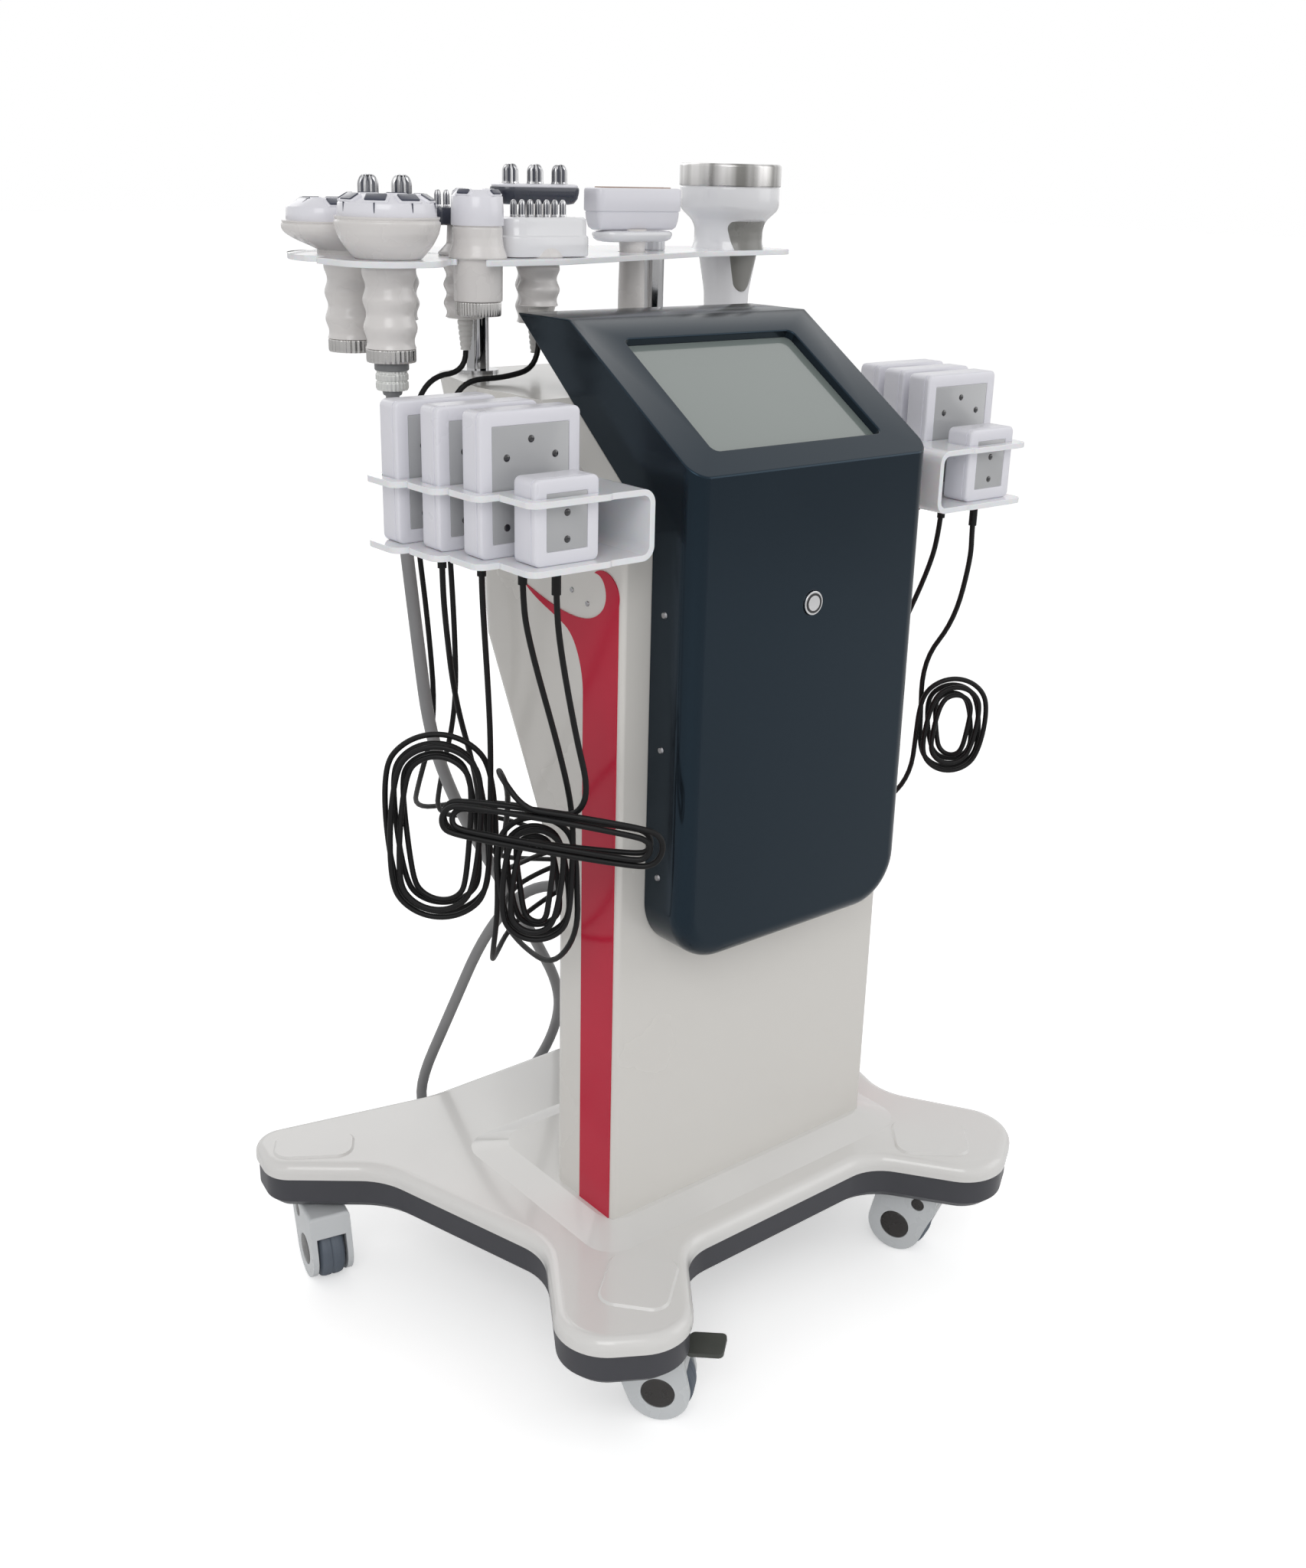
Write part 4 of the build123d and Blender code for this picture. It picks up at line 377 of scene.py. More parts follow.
pad_white = finish(
    "pad_white", (0.82, 0.815, 0.87), (0.79, 0.785, 0.84), (0.25, 0.36), 12, 1100, 0.08,
    Coat_Weight=0.15, Coat_Roughness=0.15,
)
cable_black = finish(
    "cable_black", (0.0045, 0.0045, 0.005), (0.009, 0.009, 0.0095), (0.36, 0.52), 40, 2500, 0.2,
    Specular_IOR_Level=0.22,
)
hose_grey = finish(
    "hose_grey", (0.27, 0.27, 0.275), (0.235, 0.235, 0.24), (0.35, 0.5), 20, 1800, 0.2,
)

ring_steel = finish(
    "ring_steel", (0.60, 0.59, 0.58), (0.52, 0.51, 0.50), (0.18, 0.3), 60, 1500, 0.1, Metallic=1.0,
)
collar_grey = finish(
    "collar_grey", (0.21, 0.215, 0.22), (0.18, 0.185, 0.19), (0.35, 0.5), 30, 1800, 0.15,
)
nut_clear = finish(
    "nut_clear", (0.74, 0.75, 0.73), (0.66, 0.67, 0.65), (0.1, 0.22), 40, 1200, 0.08,
    Coat_Weight=0.7, Coat_Roughness=0.05, Metallic=0.35,
)
plate_navy = finish(
    "plate_navy", (0.020, 0.026, 0.055), (0.030, 0.036, 0.07), (0.2, 0.34), 40, 1600, 0.12,
    Coat_Weight=0.4, Coat_Roughness=0.12,
)
relief_white = finish(
    "relief_white", (0.70, 0.69, 0.67), (0.64, 0.63, 0.615), (0.4, 0.55), 40, 2200, 0.25,
)
gloss_white = finish(
    "gloss_white", (0.82, 0.82, 0.84), (0.79, 0.79, 0.815), (0.10, 0.18), 12, 700, 0.04,
    Coat_Weight=0.6, Coat_Roughness=0.06,
)
electrode_bronze = finish(
    "electrode_bronze", (0.30, 0.20, 0.15), (0.22, 0.15, 0.12), (0.25, 0.4), 80, 1500, 0.1,
    Metallic=0.8,
)
tongue_grey = finish(
    "tongue_grey", (0.235, 0.232, 0.217), (0.20, 0.198, 0.185), (0.24, 0.36), 24, 1400, 0.12,
    Coat_Weight=0.3, Coat_Roughness=0.15,
)
window_grey = finish(
    "window_grey", (0.46, 0.465, 0.475), (0.42, 0.425, 0.435), (0.14, 0.24), 14, 900, 0.06,
    Coat_Weight=0.3, Coat_Roughness=0.1,
)
lens_black = finish(
    "lens_black", (0.008, 0.008, 0.010), (0.014, 0.014, 0.018), (0.08, 0.16), 90, 900, 0.02,
    Coat_Weight=0.8, Coat_Roughness=0.03,
)
cap_black = finish(
    "cap_black", (0.020, 0.017, 0.016), (0.032, 0.028, 0.026), (0.22, 0.36), 50, 1600, 0.12,
    Coat_Weight=0.3, Coat_Roughness=0.15,
)

# %% [markdown]
# A turned disc of polished steel shows upright bands of light and dark, which are reflections. A
# noise that is squeezed sideways and stretched along Z paints the same bands into its colour as
# painted reflections, and they stay put on the metal.

# %% Painted reflection bands
reflection_band_stretch, reflection_band_edges = 0.02, (0.38, 0.62)


def paint_reflection_bands(made, light, dark, scale):
    """Painted reflection: a tint whose tone varies round the piece and hardly at all along Z."""
    nodes, links = made.node_tree.nodes, made.node_tree.links
    places, stretch = nodes.new("ShaderNodeTexCoord"), nodes.new("ShaderNodeMapping")
    bands, spread = nodes.new("ShaderNodeTexNoise"), nodes.new("ShaderNodeMapRange")
    tone = nodes.new("ShaderNodeMix")
    tone.data_type = "RGBA"
    stretch.inputs["Scale"].default_value = (scale, scale, scale * reflection_band_stretch)
    bands.inputs["Scale"].default_value, bands.inputs["Detail"].default_value = 1, 2
    spread.interpolation_type = "SMOOTHSTEP"
    spread.inputs["From Min"].default_value, spread.inputs["From Max"].default_value = reflection_band_edges
    tone.inputs[mix_first].default_value = (*light, 1)
    tone.inputs[mix_second].default_value = (*dark, 1)
    links.new(places.outputs["Object"], stretch.inputs["Vector"])
    links.new(stretch.outputs["Vector"], bands.inputs["Vector"])
    links.new(bands.outputs["Fac"], spread.inputs["Value"])
    links.new(spread.outputs["Result"], tone.inputs["Factor"])
    links.new(tone.outputs[mix_result], nodes["Principled BSDF"].inputs["Base Color"])


# Painted reflections on the disc: light and dark upright bands in its colour.
paint_reflection_bands(disc_steel, (0.68, 0.67, 0.665), (0.23, 0.226, 0.215), 38)
# Painted reflections on the tips: the same light and dark upright bands in their colour.
paint_reflection_bands(tip_steel, (0.62, 0.62, 0.63), (0.30, 0.30, 0.31), 260)


slot_materials = {
    "cover_white": cover_white, "skirt_charcoal": skirt_charcoal, "frame_steel": frame_steel,
    "stem_zinc": stem_zinc, "caster_grey": caster_grey, "wheel_tyre": wheel_tyre,
    "pedal_olive": pedal_olive, "column_white": column_white, "panel_grey": panel_grey,
    "inlet_black": inlet_black, "inner_metal": inner_metal, "stripe_crimson": stripe_crimson,
    "housing_navy": housing_navy, "screen_glass": screen_glass, "screw_zinc": screw_zinc,
    "button_metal": button_metal, "post_chrome": post_chrome, "tray_white": tray_white,
    "handle_white": handle_white, "cup_white": cup_white, "probe_dark": probe_dark,
    "tip_steel": tip_steel, "disc_steel": disc_steel, "pad_white": pad_white,
    "cable_black": cable_black, "hose_grey": hose_grey,
}
for row in frame["record"]["subparts"]:
    data = frame["nodes"][row["node"]].data
    data.materials.clear()
    data.materials.append(slot_materials[row["material_slot"]])
print("materials", len(slot_materials))

# %% [markdown]
# ## The ten cords
# Each pad and handpiece lead runs to its socket. Four of the pad leads are gathered in a hank.

# %% Cords
upright = hank((-285, -102, 600), 66, 37, 2, 8.0, 90, -1)
level = hank((-289, -134, 669), 109, 19, 1, 10.8, -7.5, 1, loose=0.4)
left = hank((-335, 0, 635), 100, 54, 2, 8.0, 90, -1)
right_hank = hank((326, -115, 655), 58, 38, 2, 7.8, 90, 1)


def beyond(points, end, distance):
    """Point a distance beyond the first or last point of a hank, along its end direction."""
    first, second = (points[0], points[1]) if end == "start" else (points[-1], points[-2])
    way = (Vector(first) - Vector(second)).normalized()
    return tuple(Vector(first) + way * distance)


for name, length, nodes, route in (
    ("small_pad_lead_left", 2.303, ("level_hank", "upright_hank", "left_hank", "pad_leads_left"), [
        *from_pad(-292, -147), (-290, -150, 860), (-275, -156, 770), (-262, -161, 712),
        beyond(level, "start", 24), *level, beyond(level, "end", 28),
        (-324, -100, 722), (-300, -60, 715), (-262, -25, 670), (-240, 20, 590), (-222, 70, 530),
        (-170, 112, 512), (-90, 140, 506), *to_socket(1, 1, 50),
    ]),
    ("large_pad_1_lead_left", 2.254, (), [
        *from_pad(-295, -97), (-292, -99, 860), (-264, -118, 735), beyond(upright, "start", 70),
        *upright, beyond(upright, "end", 60), (-246, -80, 485), (-228, 0, 470),
        (-218, 60, 480), (-175, 106, 488), (-110, 118, 495), *to_socket(0, 1, 30),
    ]),
    ("large_pad_2_lead_left", 3.065, (), [
        *from_pad(-308, -47), (-306, -46, 870), (-296, -38, 790), beyond(left, "start", 90),
        *left, beyond(left, "end", 90), (-270, 0, 470), (-228, 60, 432), (-172, 108, 440),
        (-110, 124, 452), *to_socket(0, 0, 36),
    ]),
    ("large_pad_3_lead_left", 0.688, (), [
        *from_pad(-321, 3), (-315, 10, 860), (-290, 34, 760), (-250, 55, 660), (-224, 88, 570),
        (-178, 122, 524), (-100, 158, 490), *to_socket(1, 0, 90),
    ]),
    ("small_pad_lead_right", 2.134, ("right_hank", "pad_leads_right"), [
        *from_pad(292, -147), (296, -146, 870), (306, -122, 790), beyond(right_hank, "start", 80),
        *right_hank, beyond(right_hank, "end", 70), (280, -40, 530), (248, 40, 470),
        (210, 110, 440), (140, 150, 440), *to_socket(4, 0, 60),
    ]),
    ("large_pad_1_lead_right", 0.670, (), [
        *from_pad(295, -97), (290, -92, 850), (262, -52, 720), (244, 10, 610), (226, 84, 520),
        (160, 140, 500), *to_socket(4, 1, 45),
    ]),
    ("large_pad_2_lead_right", 0.721, (), [
        *from_pad(308, -47), (302, -38, 850), (270, 20, 720), (246, 90, 600), (200, 165, 525),
        (110, 190, 505), *to_socket(3, 1, 85),
    ]),
    ("row_probe_lead", 1.017, ("handpiece_leads",), [
        (-109, 138, 1106), (-109, 138, 1077), (-150, 141, 1067), (-203, 146, 1067),
        (-222, 146, 1025), (-230, 136, 930), (-240, 110, 820), (-238, 112, 720),
        (-228, 165, 620), (-205, 215, 550), (-110, 245, 525), *to_socket(2, 0, 150),
    ]),
    ("side_probe_lead", 1.020, (), [
        (-170, 187, 1092), (-170, 187, 1070), (-215, 193, 1066), (-240, 190, 1020),
        (-246, 176, 920), (-254, 140, 810), (-250, 136, 700), (-250, 175, 620),
        (-215, 250, 550), (-110, 285, 530), *to_socket(2, 1, 190),
    ]),
):
    make_cord(name, route, cable_width, cable_black, nodes)
make_cord(
    "vacuum_hose_line",
    [
        (-288, 143, 1062), (-288, 143, 1000), (-290, 124, 915), (-281, 120, 807),
        (-267, 122, 692), (-225, 140, 599), (-175, 160, 519), (-136, 175, 460),
        (-76, 198, 365), (-7, 232, 255), (36, 300, 150), (22, 340, 66), (-60, 352, 24),
        (-140, 346, 44), (-176, 330, 110), (-141, 292, 238), (-108, 262, 350),
        (-70, 225, 420), (-34, 170, 434), (-34, 95, 434),
    ],
    hose_width, hose_grey, ("vacuum_hose",),
)

# %% [markdown]
# ## Mesh tools
# Turned parts and moulded blocks are grids of points: one index runs round the part and the other
# runs along its profile. Grids are worked out with numpy as whole arrays, which is quicker than a
# stack of modifiers and gives the exact rounding of each edge. Sizes are in millimetres of the
# drawing, and become metres only when the mesh is made.

# %% Mesh tools
tray_level = 1190.0
weld_distance, eased_share = 1e-6, 0.45


def add_piece(name, points, faces, finish, body, sharp=40):
    """Mesh piece that rides on a body, smooth where its faces meet below the sharp angle."""
    data = bpy.data.meshes.new(name)
    places = np.asarray(points, float).reshape(-1, 3) / 1000 + np.array(footprint_shift)
    data.from_pydata(places.tolist(), [], faces)
    shape = bmesh.new()
    shape.from_mesh(data)
    bmesh.ops.remove_doubles(shape, verts=shape.verts, dist=weld_distance)
    bmesh.ops.recalc_face_normals(shape, faces=shape.faces)
    shape.to_mesh(data)
    shape.free()
    data.polygons.foreach_set("use_smooth", [True] * len(data.polygons))
    data.set_sharp_from_angle(angle=math.radians(sharp))
    data.materials.append(finish)
    piece = bpy.data.objects.new(name, data)
    bpy.context.scene.collection.objects.link(piece)
    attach(piece, body)
    return piece


def grid_faces(around, along, closed=True):
    """Quads that join a grid of points, numbered row by row, closing the rows if asked."""
    i = np.arange(around if closed else around - 1)[:, None]
    j = np.arange(along - 1)[None, :]
    k = (i + 1) % around
    quads = np.stack([i * along + j, k * along + j, k * along + j + 1, i * along + j + 1], axis=-1)
    return quads.reshape(-1, 4).tolist()


def rounded(profile, radius, steps=4):
    """Profile whose corners are eased by parabolas that take up at most 0.45 of a run."""
    points = np.asarray(profile, float)
    before, here, after = points[:-2], points[1:-1], points[2:]
    way_in, way_out = before - here, after - here
    run_in = np.linalg.norm(way_in, axis=1, keepdims=True)
    run_out = np.linalg.norm(way_out, axis=1, keepdims=True)
    start = here + way_in / run_in * np.minimum(radius, run_in * eased_share)
    end = here + way_out / run_out * np.minimum(radius, run_out * eased_share)
    t = np.linspace(0, 1, steps + 1)[None, :, None]
    arcs = (1 - t) ** 2 * start[:, None] + 2 * t * (1 - t) * here[:, None] + t**2 * end[:, None]
    return np.vstack([points[:1], arcs.reshape(-1, 2), points[-1:]])


def turned(name, origin, axis, profile, finish, body, material_slot, sides=64, ridges=0, depth=0.0):
    """Turned piece about any axis through an origin.

    A profile point (r, h) becomes origin + R cos(t) u + R sin(t) v + h axis, where u and v are
    square to the axis, and R = r - depth (1 + cos(ridges t)) / 2 gives a fluted side.
    """
    way = np.array(axis, float) / np.linalg.norm(axis)
    helper = np.array((1.0, 0, 0)) if abs(way[2]) > 0.9 else np.array((0, 0, 1.0))
    first = helper - way * (helper @ way)
    first /= np.linalg.norm(first)
    second = np.cross(way, first)
    radius, height = np.asarray(profile, float).T
    angle = np.linspace(0, 2 * np.pi, sides, endpoint=False)[:, None]
    flute = depth * (1 + np.cos(ridges * angle)) / 2
    reach = np.where(radius > 2 * depth, radius - flute, radius)[..., None]
    grid = (
        np.array(origin, float) + reach * np.cos(angle)[..., None] * first
        + reach * np.sin(angle)[..., None] * second + height[None, :, None] * way
    )
    return add_piece(name, grid, grid_faces(sides, len(radius)), finish, body)


def lathe(name, place, profile, finish, body, material_slot, **more):
    """Turned piece on an upright axis through a place of the tray."""
    return turned(
        name, (*place, tray_level), (0, 0, 1), profile, finish, body, material_slot, **more,
    )


def block(name, origin, ways, length, width, corner, rings, finish, body, material_slot, steps=7):
    """Moulded block: a rounded rectangle in the plane of the first two ways, drawn along the third.

    At each of the rings, which are pairs of inset and height, a corner point is
    C + (corner - inset) (cos t, sin t), where C is the corner's centre.
    """
    turn = np.linspace(0, np.pi / 2, steps + 1)
    turns = np.concatenate([turn + quarter * np.pi / 2 for quarter in range(4)])
    signs = np.repeat([(1, 1), (-1, 1), (-1, -1), (1, -1)], steps + 1, axis=0)
    middles = signs * (length / 2 - corner, width / 2 - corner)
    insets, heights = np.asarray(rings, float).T
    shrunk = np.minimum(insets, corner * 0.98)
    flat = (
        middles[:, None, :] - signs[:, None, :] * (insets - shrunk)[None, :, None]
        + np.stack([np.cos(turns), np.sin(turns)], axis=-1)[:, None, :] * (corner - shrunk)[:, None]
    )
    first, second, third = (np.array(way, float) for way in ways)
    grid = (
        np.array(origin, float) + flat[..., :1] * first + flat[..., 1:] * second
        + heights[None, :, None] * third
    )
    around, along = len(turns), len(heights)
    ends = (np.arange(around) * along).tolist()
    faces = grid_faces(around, along) + [ends[::-1], [i + along - 1 for i in ends]]
    return add_piece(name, grid, faces, finish, body)


def level_ways(degrees=0.0):
    """Ways of a block that lies level and is turned about Z."""
    a = math.radians(degrees)
    return (math.cos(a), math.sin(a), 0), (-math.sin(a), math.cos(a), 0), (0, 0, 1)


def level_piece(name, place, *shape, **more):
    """Block that lies level over a place of the tray."""
    return block(name, (*place, tray_level), level_ways(), *shape, **more)


def merged_copy(source):
    """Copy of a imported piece's mesh, and its shape with doubles merged and flat faces joined."""
    data = source.data.copy()
    shape = bmesh.new()
    shape.from_mesh(data)
    bmesh.ops.remove_doubles(shape, verts=shape.verts, dist=weld_distance)
    bmesh.ops.dissolve_limit(
        shape, angle_limit=math.radians(0.5), verts=shape.verts, edges=shape.edges,
    )
    return data, shape


def soften(node, width, segments, angle=35):
    """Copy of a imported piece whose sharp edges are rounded, shown in its place."""
    source = frame["nodes"][node]
    data, shape = merged_copy(source)
    shape.to_mesh(data)
    shape.free()
    data.polygons.foreach_set("use_smooth", [True] * len(data.polygons))
    piece = bpy.data.objects.new(node + "_finished", data)
    bpy.context.scene.collection.objects.link(piece)
    edge = piece.modifiers.new("rounded_edges", "BEVEL")
    edge.width, edge.segments = width / 1000, segments
    edge.limit_method, edge.angle_limit = "ANGLE", math.radians(angle)
    steady = piece.modifiers.new("steady_normals", "WEIGHTED_NORMAL")
    steady.weight, steady.keep_sharp = 100, False
    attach(piece, source["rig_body"])
    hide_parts(node)
    return piece

# %% [markdown]
# ## Vacuum handpieces
# Two handpieces share one handle: a soft wavy grip, a fluted metal ring and, under the round cup,
# a grey collar with the clear nut of the hose. A turned profile gives all of them. The wave is a
# sine along the grip, because the real grip swells three times for the fingers.

# %% Grips
def wave(bottom, radius, swell, waves, top=-6.0, steps=60):
    """Half profile of a grip: r = radius + swell sin(2 pi waves t), from its foot up to its top."""
    t = np.linspace(1, 0, steps + 1)
    ripple = swell * np.sin(2 * np.pi * waves * t)
    return np.stack([radius + ripple, top + (bottom - top) * t], axis=1)


def whole(*profiles):
    """Closed half profile that starts and ends on the axis."""
    points = np.vstack(profiles)
    return np.vstack([[(0, points[0][1])], points, [(0, points[-1][1])]])


round_place, wide_place = (-288.0, 143.0), (-272.0, 250.0)
grip_bottom, seat_radius = -86.0, 33.0
vacuum_grip = wave(grip_bottom, 25.5, 1.6, 3)
bowl = rounded([
    (27, -0.5), (seat_radius, 0), (38, 5.5), (45, 14), (50.5, 24), (52.5, 32), (52.5, 35.4),
    (51.2, 36.2), (51.2, 37.4), (52, 38.2), (52, 40),
], 2.5)
vacuum_body = lathe(
    "vacuum_body", round_place, whole(vacuum_grip, bowl), handle_white, "vacuum_handset",
    "handle_white", sides=96,
)
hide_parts("vacuum_handpiece")


def fluted_ring(name, place, radius, low, high, body, count=30):
    """Short metal ring with upright flutes and two plain lips."""
    lip = rounded([
        (radius - 2.5, low + 0.2), (radius - 0.5, low + 0.2), (radius - 0.2, low + 1.6),
        (radius, low + 2.2), (radius, high - 1.8), (radius - 0.4, high - 1.2), (radius - 1.6, high),
    ], 0.8)
    lathe(
        name, place, whole(lip), ring_steel, body, "handle_white", sides=count * 8, ridges=count,
        depth=0.9,
    )


fluted_ring("vacuum_ring", round_place, 25.2, -100, -85.5, "vacuum_handset")
fluted_ring("wide_ring", wide_place, 25.2, -100, -85.5, "wide_handset")
lathe(
    "vacuum_collar", round_place,
    whole(rounded([(16.5, -108), (17.5, -107), (17.5, -101), (16.5, -99.5)], 0.8)), collar_grey,
    "vacuum_handset", "handle_white",
)
lathe(
    "vacuum_nut", round_place,
    whole(rounded([
        (11.5, -128), (15.6, -127.6), (16.8, -125), (16.8, -119.4), (15.4, -118.8), (15.4, -117.6),
        (16.8, -117), (16.8, -111.6), (15.6, -110.8), (15.6, -107.6),
    ], 0.7)),
    nut_clear, "vacuum_handset", "handle_white", sides=192, ridges=24, depth=0.7,
)
lathe(
    "vacuum_hose_seal", round_place,
    whole(rounded([(8.2, -133), (9.6, -132), (10.4, -128.2), (10.4, -127)], 0.6)), collar_grey,
    "vacuum_handset", "handle_white",
)
print("round handpiece", [round(v, 4) for v in vacuum_body.dimensions])

# %% [markdown]
# The wide handpiece has a soft rectangular bowl. The bowl is a grid that runs from the round seat
# on the tray to a rounded rectangle: each ring blends the two outlines by its share.

# %% Wide bowl
def blended_bowl(name, place, radius, length, width, corner, rings, finish, body):
    """Bowl between a circle and a rounded rectangle.

    A ring of (share, inset, height) has the points (1 - share) circle + share rectangle, where the
    rectangle's corners keep the same angle as the circle's points.
    """
    turn = np.linspace(0, np.pi / 2, 17)
    turns = np.concatenate([turn + quarter * np.pi / 2 for quarter in range(4)])
    signs = np.repeat([(1, 1), (-1, 1), (-1, -1), (1, -1)], 17, axis=0)
    way = np.stack([np.cos(turns), np.sin(turns)], axis=-1)[:, None, :]
    middles = (signs * (length / 2 - corner, width / 2 - corner))[:, None, :]
    share, inset, height = (column[None, :, None] for column in np.asarray(rings, float).T)
    flat = (1 - share) * way * radius + share * (middles + way * (corner - inset))
    tall = np.broadcast_to(tray_level + height, flat.shape[:2] + (1,))
    grid = np.concatenate([flat + np.array(place), tall], axis=-1)
    along = grid.shape[1]
    ends = (np.arange(len(turns)) * along).tolist()
    faces = grid_faces(len(turns), along) + [ends[::-1], [i + along - 1 for i in ends]]
    return add_piece(name, grid, faces, finish, body)


flare = np.linspace(0, 1, 13)
wide_bowl = blended_bowl(
    "wide_bowl", wide_place, seat_radius, 140, 84, 38,
    [(0, 0, 0), (0, 0, 3.5)]
    + [(math.sin(t * math.pi / 2) ** 1.3, 0.6 * (1 - t), 3.5 + 22 * t**1.1) for t in flare[1:]]
    + [(1, 0, 28), (1, 0.2, 29.2), (1, 1.2, 29.8), (1, 1.2, 30.6), (1, 0.4, 31.2), (1, 0.4, 32)],
    handle_white, "wide_handset",
)
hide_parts("wide_handpiece")
lathe(
    "wide_grip", wide_place, whole(vacuum_grip, [(27, -0.5), (27, 4)]), handle_white,
    "wide_handset", "handle_white", sides=96,
)

# %% [markdown]
# ## Crowns
# The top of each cup is a white rim that slopes outwards round a sunk middle. Raised seats stand on
# the slope, each with a dark electrode plate, and on the large cups a thin dark line runs from the
# plate down the outside of the rim. Seats and plates are the same block, tilted with the slope.

# %% Crowns
def crown(
    name, node, place, length, width, corner, wall, low, high, spots, plate, body, leads=True,
):
    """Rim with electrode seats, plates and leads. A spot is (x, y, degrees) from the middle."""
    rise = min(7.0, wall * 0.5)
    shoulder, ridge = high - rise - 3.2, high - 2.4
    rim = level_piece(
        name, place, length, width, corner,
        [
            (0.3, low), (0, low + 1), (0.3, 0.5 * (low + shoulder)), (0.9, shoulder - 1),
            (1.7, shoulder), (wall - 2.6, ridge - 0.5), (wall - 1.4, ridge),
            (wall - 0.5, ridge - 0.7), (wall, ridge - 2.2), (wall + 0.6, low + 4.5),
            (wall + 2, low + 3.6), (wall + 4, low + 3.4),
        ],
        cup_white, body, "cup_white", steps=17,
    )
    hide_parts(node)
    tilt = math.atan2(ridge - shoulder, wall - 3.5)
    size, breadth = plate
    for index, (x, y, degrees) in enumerate(spots):
        along, across, up = (np.array(way) for way in level_ways(degrees))
        outwards = across * (1 if across[:2] @ (x, y) >= 0 else -1)
        down = outwards * math.cos(tilt) - up * math.sin(tilt)
        out = outwards * math.sin(tilt) + up * math.cos(tilt)
        middle = np.array((place[0] + x, place[1] + y, tray_level + 0.5 * (shoulder + ridge) + 0.4))
        block(
            f"{name}_seat_{index + 1}", middle, (along, down, out), size + 4.4, breadth + 2.6, 2.4,
            [(-0.4, -2.4), (-0.2, 0), (0.2, 0.9), (0.8, 1.2)], cup_white, body, "cup_white",
            steps=4,
        )
        block(
            f"{name}_plate_{index + 1}", middle, (along, down, out), size, breadth, 1.6,
            [(0, 0.9), (0, 1.9), (0.25, 2.4), (0.9, 2.6)], plate_navy, body, "cup_white", steps=4,
        )
        if leads:
            edge = np.array((place[0], place[1], tray_level)) + np.array((x, y, 0))
            edge += outwards * (wall / 2 - 0.9)
            block(
                f"{name}_lead_{index + 1}", edge, (along, outwards, up), 1.4, 1.4, 0.4,
                [(0, shoulder - 9.5), (0, shoulder + 0.6)], plate_navy, body, "cup_white", steps=2,
            )


def spots_round(count, radius, start=0.0):
    """Spots evenly round a circle, each square to its radius."""
    return [
        (radius * math.cos(a), radius * math.sin(a), math.degrees(a) + 90)
        for a in (math.radians(start + 360 * i / count) for i in range(count))
    ]


crown(
    "vacuum_crown", "vacuum_cup", round_place, 98, 98, 49, 17, 40, 63, spots_round(8, 40.5),
    (21, 11), "vacuum_handset",
)
wide_spots = [(step * 28, sign * 29, 0) for sign in (1, -1) for step in (-1, 0, 1)]
wide_spots += [(sign * 51, 0, 90) for sign in (1, -1)]
crown(
    "wide_crown", "wide_cup", wide_place, 130, 74, 33, 16, 32, 56,
    wide_spots, (21, 11), "wide_handset",
)

# %% [markdown]
# The face handpiece is the slim one of the three. It stands in the open slot of the tray on a
# flared foot, with a tall crown and four small plates.

# %% Face handpiece
face_place = (-190.0, 131.0)
face_body = lathe(
    "face_body", face_place,
    whole(rounded([
        (24.6, -42), (25, -41), (25.5, -1), (30, 0), (30, 2.5), (28.6, 6), (26.4, 12), (25.5, 20),
        (25.6, 29.6), (24.8, 30.6), (24.8, 31.4), (25.5, 32),
    ], 2)),
    handle_white, "face_handset", "handle_white", sides=80,
)
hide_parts("face_handpiece")
fluted_ring("face_ring", face_place, 23.6, -57, -41.5, "face_handset", count=44)
crown(
    "face_crown", "face_cup", face_place, 54, 54, 27, 9, 32, 68, spots_round(4, 22, 20.0),
    (14, 6), "face_handset", leads=False,
)

# %% [markdown]
# ## Probes
# Every probe is a wavy handle with a head and metal tips. The tips are turned with upright
# flutes, and a dark core inside each shows in the flutes as painted shade, the dark slots. Below
# the handle a ribbed relief tapers to the cable.

# %% Probe parts
def ribbed_relief(top, tip, high, length, ribs=6):
    """Half profile of a strain relief, from its thin end up, with a groove per rib."""
    t = np.linspace(0, 1, ribs * 4 + 1)
    radius = tip + (top - tip) * t
    groove = 0.9 * (np.arange(len(t)) % 4 == 2)
    return np.stack([radius - groove, high - length + length * t], axis=1)


def cable_relief(name, place, high, body, top=9.0):
    """Pale relief that hangs from the foot of a handle."""
    lathe(
        name, place, whole(ribbed_relief(top, 5.5, high, 34.0)), relief_white, body,
        "handle_white", sides=40,
    )


def probe_handle(name, place, bottom, neck, body, node, waves=3, relief_top=9.0):
    """White handle from its relief up to its neck."""
    foot = [(19, bottom), (19.5, bottom + 0.4)]
    handle = lathe(
        name, place, whole(foot, wave(bottom + 1, 21, 1.6, waves), rounded(neck, 2)),
        handle_white, body, "handle_white", sides=72,
    )
    cable_relief(name + "_relief", place, bottom + 1, body, relief_top)
    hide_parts(node)


def tip_row(name, place, count, pitch, radius, low, height, body, ridges):
    """Row of fluted metal tips with rounded ends, each over a dark core that shows in its slots as
    painted shade.
    """
    foot, shoulder = low + height * 0.12, low + height * 0.72
    shell = whole(rounded([
        (radius * 1.06, low - 0.5), (radius * 1.06, low + 1.2), (radius, foot), (radius, shoulder),
        (radius * 0.72, low + height * 0.93), (radius * 0.3, low + height),
    ], radius * 0.3))
    shade_core = whole([
        (radius * 0.86, foot + 0.3), (radius * 0.86, shoulder), (radius * 0.5, low + height * 0.9),
    ])
    for index in range(count):
        spot = (place[0] + (index - (count - 1) / 2) * pitch, place[1])
        lathe(
            f"{name}_{index + 1}", spot, shell, tip_steel, body, "tip_steel", sides=ridges * 8,
            ridges=ridges, depth=radius * 0.3,
        )
        # Painted shade: a dark core that shows in the flutes as the dark slots.
        lathe(f"{name}_core_{index + 1}", spot, shade_core, probe_dark, body, "tip_steel", sides=32)


